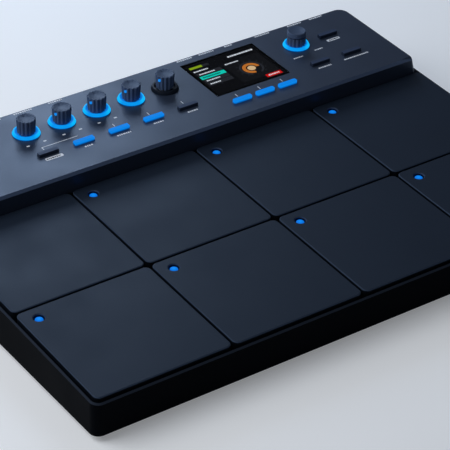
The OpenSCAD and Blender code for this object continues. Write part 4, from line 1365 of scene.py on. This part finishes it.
    def flat_ring(self, name, inner, outer, film):
        """Flat ring on the screen, between two radii in millimetres."""
        near_r, far_r = inner * MM, outer * MM
        section = [(near_r, 0), (far_r, 0), (far_r, film), (near_r, film), (near_r, 0)]
        return turn_profile(name, section, steps=64, closed_ring=True)


# Widths of a printed line, and of small and larger broken lines
LINE, SMALL_PRINT, PRINT = 0.6 * MM, 1.5 * MM, 1.7 * MM


def around(x, y, size_x, size_y):
    """Left, front, right and back of a rectangle, from its middle and its size."""
    return (x - size_x / 2, y - size_y / 2, x + size_x / 2, y + size_y / 2)


class PERCUSSION_OT_marks(bpy.types.Operator):
    """Printed ticks and broken lines beside the controls"""

    bl_idname = "percussion.marks"
    bl_label = "Printed marks"

    def execute(self, context):
        looks = context.scene.panel_looks
        fields, dark_lines = self.field_marks()
        bars = self.knob_marks() + self.button_marks() + fields + self.back_marks(looks)
        pale = printed_ink("pad-printed pale ink", looks.print_colour)
        dark = printed_ink("pad-printed dark ink", looks.plastic)
        self.print_bars("panel_marks", bars, 0, pale)
        self.print_bars("panel_dark_marks", dark_lines, 1, dark)
        return {"FINISHED"}

    def knob_marks(self):
        """A line that links two knobs to a button, and ticks and short marks beside the knobs."""
        knobs = [knob_axis(name) for name in KNOBS]
        first, second = knobs[0], knobs[1]
        encoder = knob_axis("encoder_knob")
        link_y, tick_y = first.y - 22.9 * MM, first.y - 26.7 * MM
        mark_x, mark_ahead, mark_sides = 2.6 * MM, 16.2 * MM, (-7.6 * MM, 6.9 * MM)
        bars = [(first.x, link_y - LINE, second.x, link_y)]
        for knob in [first] + knobs[2:]:
            bars.append((knob.x - LINE / 2, tick_y, knob.x + LINE / 2, link_y))
        for knob in knobs[:3]:
            for side in mark_sides:
                bars.append(around(knob.x + side, knob.y - mark_ahead, mark_x, SMALL_PRINT))
        bars += broken_line(around(encoder.x - 9.6 * MM, encoder.y - 16.7 * MM, 9 * MM, SMALL_PRINT))
        bars += broken_line(around(encoder.x + 12.2 * MM, encoder.y - 14.4 * MM, 8 * MM, SMALL_PRINT))
        return bars

    def button_marks(self):
        """Ticks behind the soft keys, and a broken line in front of most other buttons."""
        bars = []
        for key in [deck_middle(name) for name in SOFT_KEYS]:
            bars.append((key.x - LINE / 2, key.y + 6.4 * MM, key.x + LINE / 2, key.y + 10.4 * MM))
        lengths = {"button_2": 7, "button_3": 12.3, "button_4": 8.8, "button_5": 9,
                   "menu_button_2": 12.5, "menu_button_3": 24}
        shift, ahead = 0.4 * MM, 6.6 * MM
        for name, size in lengths.items():
            place = deck_middle(name)
            bars += broken_line(around(place.x + shift, place.y - ahead, size * MM, PRINT))
        return bars

    def field_marks(self):
        """Pale field in front of two buttons, and the dark broken line on each."""
        # Shift to the right, length, width, distance ahead of the button, and length of the dark line
        sizes = {"button_1": (1.6, 15, 3.6, 6.6, 12), "menu_button_1": (0.5, 12.2, 3.2, 7.7, 9)}
        fields, dark_lines = [], []
        for name, size in sizes.items():
            shift, field_x, field_y, ahead, line_x = [part * MM for part in size]
            place = deck_middle(name)
            fields.append(around(place.x + shift, place.y - ahead, field_x, field_y))
            dark_lines += broken_line(around(place.x + 1 * MM, place.y - ahead, line_x, SMALL_PRINT))
        return fields, dark_lines

    def back_marks(self, looks):
        """Broken lines along the back edge, over the sockets."""
        front = PANEL_HIGH.y - looks.top_round - 2 * MM
        spans = [(-118, -114.6), (-103.6, -87.6), (-72.8, -60.6), (45.9, 61.1), (66.9, 81.5),
                 (91.8, 100), (121.6, 136), (154.2, 167.9), (176.5, 189.6)]
        bars = []
        for left, right in spans:
            bars += broken_line((left * MM, front, right * MM, front + PRINT))
        return bars

    def print_bars(self, name, boxes, storey, ink):
        """Films of ink with round corners on the panel's top, joined into one piece."""
        film, corner_share = 0.04 * MM, 0.25
        base = PANEL_TOP + storey * film
        bars = []
        for left, front, right, back in boxes:
            bar = add_block("bar", (left, front, base), (right, back, base + film))
            round_edges(bar, upright, corner_share * min(right - left, back - front), 2)
            bars.append(bar)
        marks = join(bars)
        marks.name = name
        hand_over(marks, ink, "unit")


class PERCUSSION_OT_sockets(bpy.types.Operator):
    """Sockets and switch on the back"""

    bl_idname = "percussion.sockets"
    bl_label = "Back sockets"

    def execute(self, context):
        nickel = plated_metal("nickel-plated brass nut", "#c9c6bd", roughness=0.3, brush=0.6)
        black = moulded("black nylon socket", linear("#131417"), grain=0.7, depth=0.03, roughness=0.5)
        shell = plated_metal("tin-plated steel shell", "#b9bcc0", roughness=0.28, brush=0.8)
        satin = moulded(
            "satin dark ABS power button", linear("#23272e"), grain=0.7, depth=0.03, roughness=0.4)
        paint_nodes(black, "phone_jacks", "power_inlet", "power_switch")
        paint_nodes(shell, "usb_port")
        paint_nodes(satin, "power_button")
        self.add_nuts(nickel)
        return {"FINISHED"}

    def add_nuts(self, nickel):
        """Hexagon nuts with turned chamfers, on the sockets' necks."""
        low, high = deck_box("jack_nuts")
        mounts = [m for m in frame["record"]["mounts"] if m["name"].startswith("jack_")]
        thick = high.y - low.y
        bore, corner_r = 4.8 * MM, 7.4 * MM
        face_r, outer_r = corner_r - 0.9 * MM, corner_r + 0.2 * MM
        slope_h, lap, spare = 0.6 * MM, 0.01 * MM, 1 * MM
        deselect()
        bpy.ops.mesh.primitive_circle_add(vertices=6, radius=corner_r, fill_type="NGON")
        model = name_new("nut_model")
        raise_profile(model, [(corner_r, 0), (corner_r, thick)])
        clean(model)
        chamfer = turn_profile("chamfer", [
            (face_r, -lap), (outer_r, slope_h), (outer_r, thick - slope_h), (face_r, thick + lap)], steps=72)
        combine(model, chamfer, "INTERSECT")
        combine(model, rod("bore", bore, -spare, thick + spare, steps=48), "DIFFERENCE")
        model.rotation_euler.x = -math.pi / 2
        settle_mesh(model)
        smooth(clean(model), angle=25)
        for index, mount in enumerate(mounts, 1):
            place = TO_DECK @ Vector(mount["pos_m"])
            nut = twin(model, f"jack_nut_{index}", (place.x, low.y, place.z))
            hand_over(nut, nickel, "unit", ["jack_nuts"])
        drop(model)


class PERCUSSION_OT_inside(bpy.types.Operator):
    """Finish of the screws, the inserts and everything inside"""

    bl_idname = "percussion.inside"
    bl_label = "Fasteners and inside"

    def execute(self, context):
        zinc = plated_metal("black zinc-plated steel", "#55585d", roughness=0.4, brush=0.7)
        brass = plated_metal("turned brass", "#c79a4a", roughness=0.3, brush=0.5)
        tin = plated_metal("pressed tin-plated steel", "#a9acb0", roughness=0.35, brush=1.2)
        aluminium = plated_metal("turned aluminium", "#b8babd", roughness=0.3, brush=0.4)
        nylon = moulded("black nylon switch", linear("#17181b"), grain=0.6, depth=0.03, roughness=0.5)
        amber = moulded(
            "amber polyester sensor film", linear("#b4894a"), grain=0.9, depth=0.01, roughness=0.3)
        paint_nodes(zinc, "case_screws", "board_screws")
        paint_nodes(brass, "stand_inserts")
        paint_nodes(solder_mask(), "main_board", "panel_board", "jack_board")
        paint_nodes(ribbon_sheath(), "ribbon_cable")
        paint_nodes(tin, "pot_bodies")
        paint_nodes(nylon, "tact_switches")
        paint_nodes(amber, "pad_sensors")
        paint_nodes(aluminium, *[f"pot_shaft_{i}" for i in range(1, 6)], "encoder_shaft")
        return {"FINISHED"}


class PERCUSSION_PT_sidebar(bpy.types.Panel):
    """Lists the pieces and the sizes and colours that can be changed"""

    bl_label = "Percussion pad"
    bl_space_type = "VIEW_3D"
    bl_region_type = "UI"
    bl_category = "Percussion pad"

    def draw(self, context):
        for operator in OPERATORS:
            self.layout.operator(operator.bl_idname)
        for name, group in LOOKS.items():
            box = self.layout.box()
            for field in group.__annotations__:
                box.prop(getattr(context.scene, name), field)


LOOKS = {
    "pad_looks": PadLooks,
    "case_looks": CaseLooks,
    "panel_looks": PanelLooks,
    "knob_looks": KnobLooks,
    "button_looks": ButtonLooks,
    "display_looks": DisplayLooks,
    "stage_looks": StageLooks,
}
OPERATORS = [
    PERCUSSION_OT_stage, PERCUSSION_OT_case, PERCUSSION_OT_feet, PERCUSSION_OT_pads, PERCUSSION_OT_cushions,
    PERCUSSION_OT_pad_lights, PERCUSSION_OT_panel, PERCUSSION_OT_knobs, PERCUSSION_OT_rings,
    PERCUSSION_OT_buttons, PERCUSSION_OT_display, PERCUSSION_OT_marks, PERCUSSION_OT_sockets,
    PERCUSSION_OT_inside,
]
CLASSES = list(LOOKS.values()) + OPERATORS + [PERCUSSION_PT_sidebar]


def register():
    for cls in CLASSES:
        bpy.utils.register_class(cls)
    for name, group in LOOKS.items():
        setattr(bpy.types.Scene, name, bpy.props.PointerProperty(type=group))


def unregister():
    for name in LOOKS:
        delattr(bpy.types.Scene, name)
    for cls in reversed(CLASSES):
        bpy.utils.unregister_class(cls)


def main():
    register()
    bpy.ops.percussion.stage()
    bpy.ops.percussion.case()
    bpy.ops.percussion.feet()
    bpy.ops.percussion.pads()
    bpy.ops.percussion.cushions()
    bpy.ops.percussion.pad_lights()
    bpy.ops.percussion.panel()
    bpy.ops.percussion.knobs()
    bpy.ops.percussion.rings()
    bpy.ops.percussion.buttons()
    bpy.ops.percussion.display()
    bpy.ops.percussion.marks()
    bpy.ops.percussion.sockets()
    bpy.ops.percussion.inside()


if __name__ == "__main__":
    main()
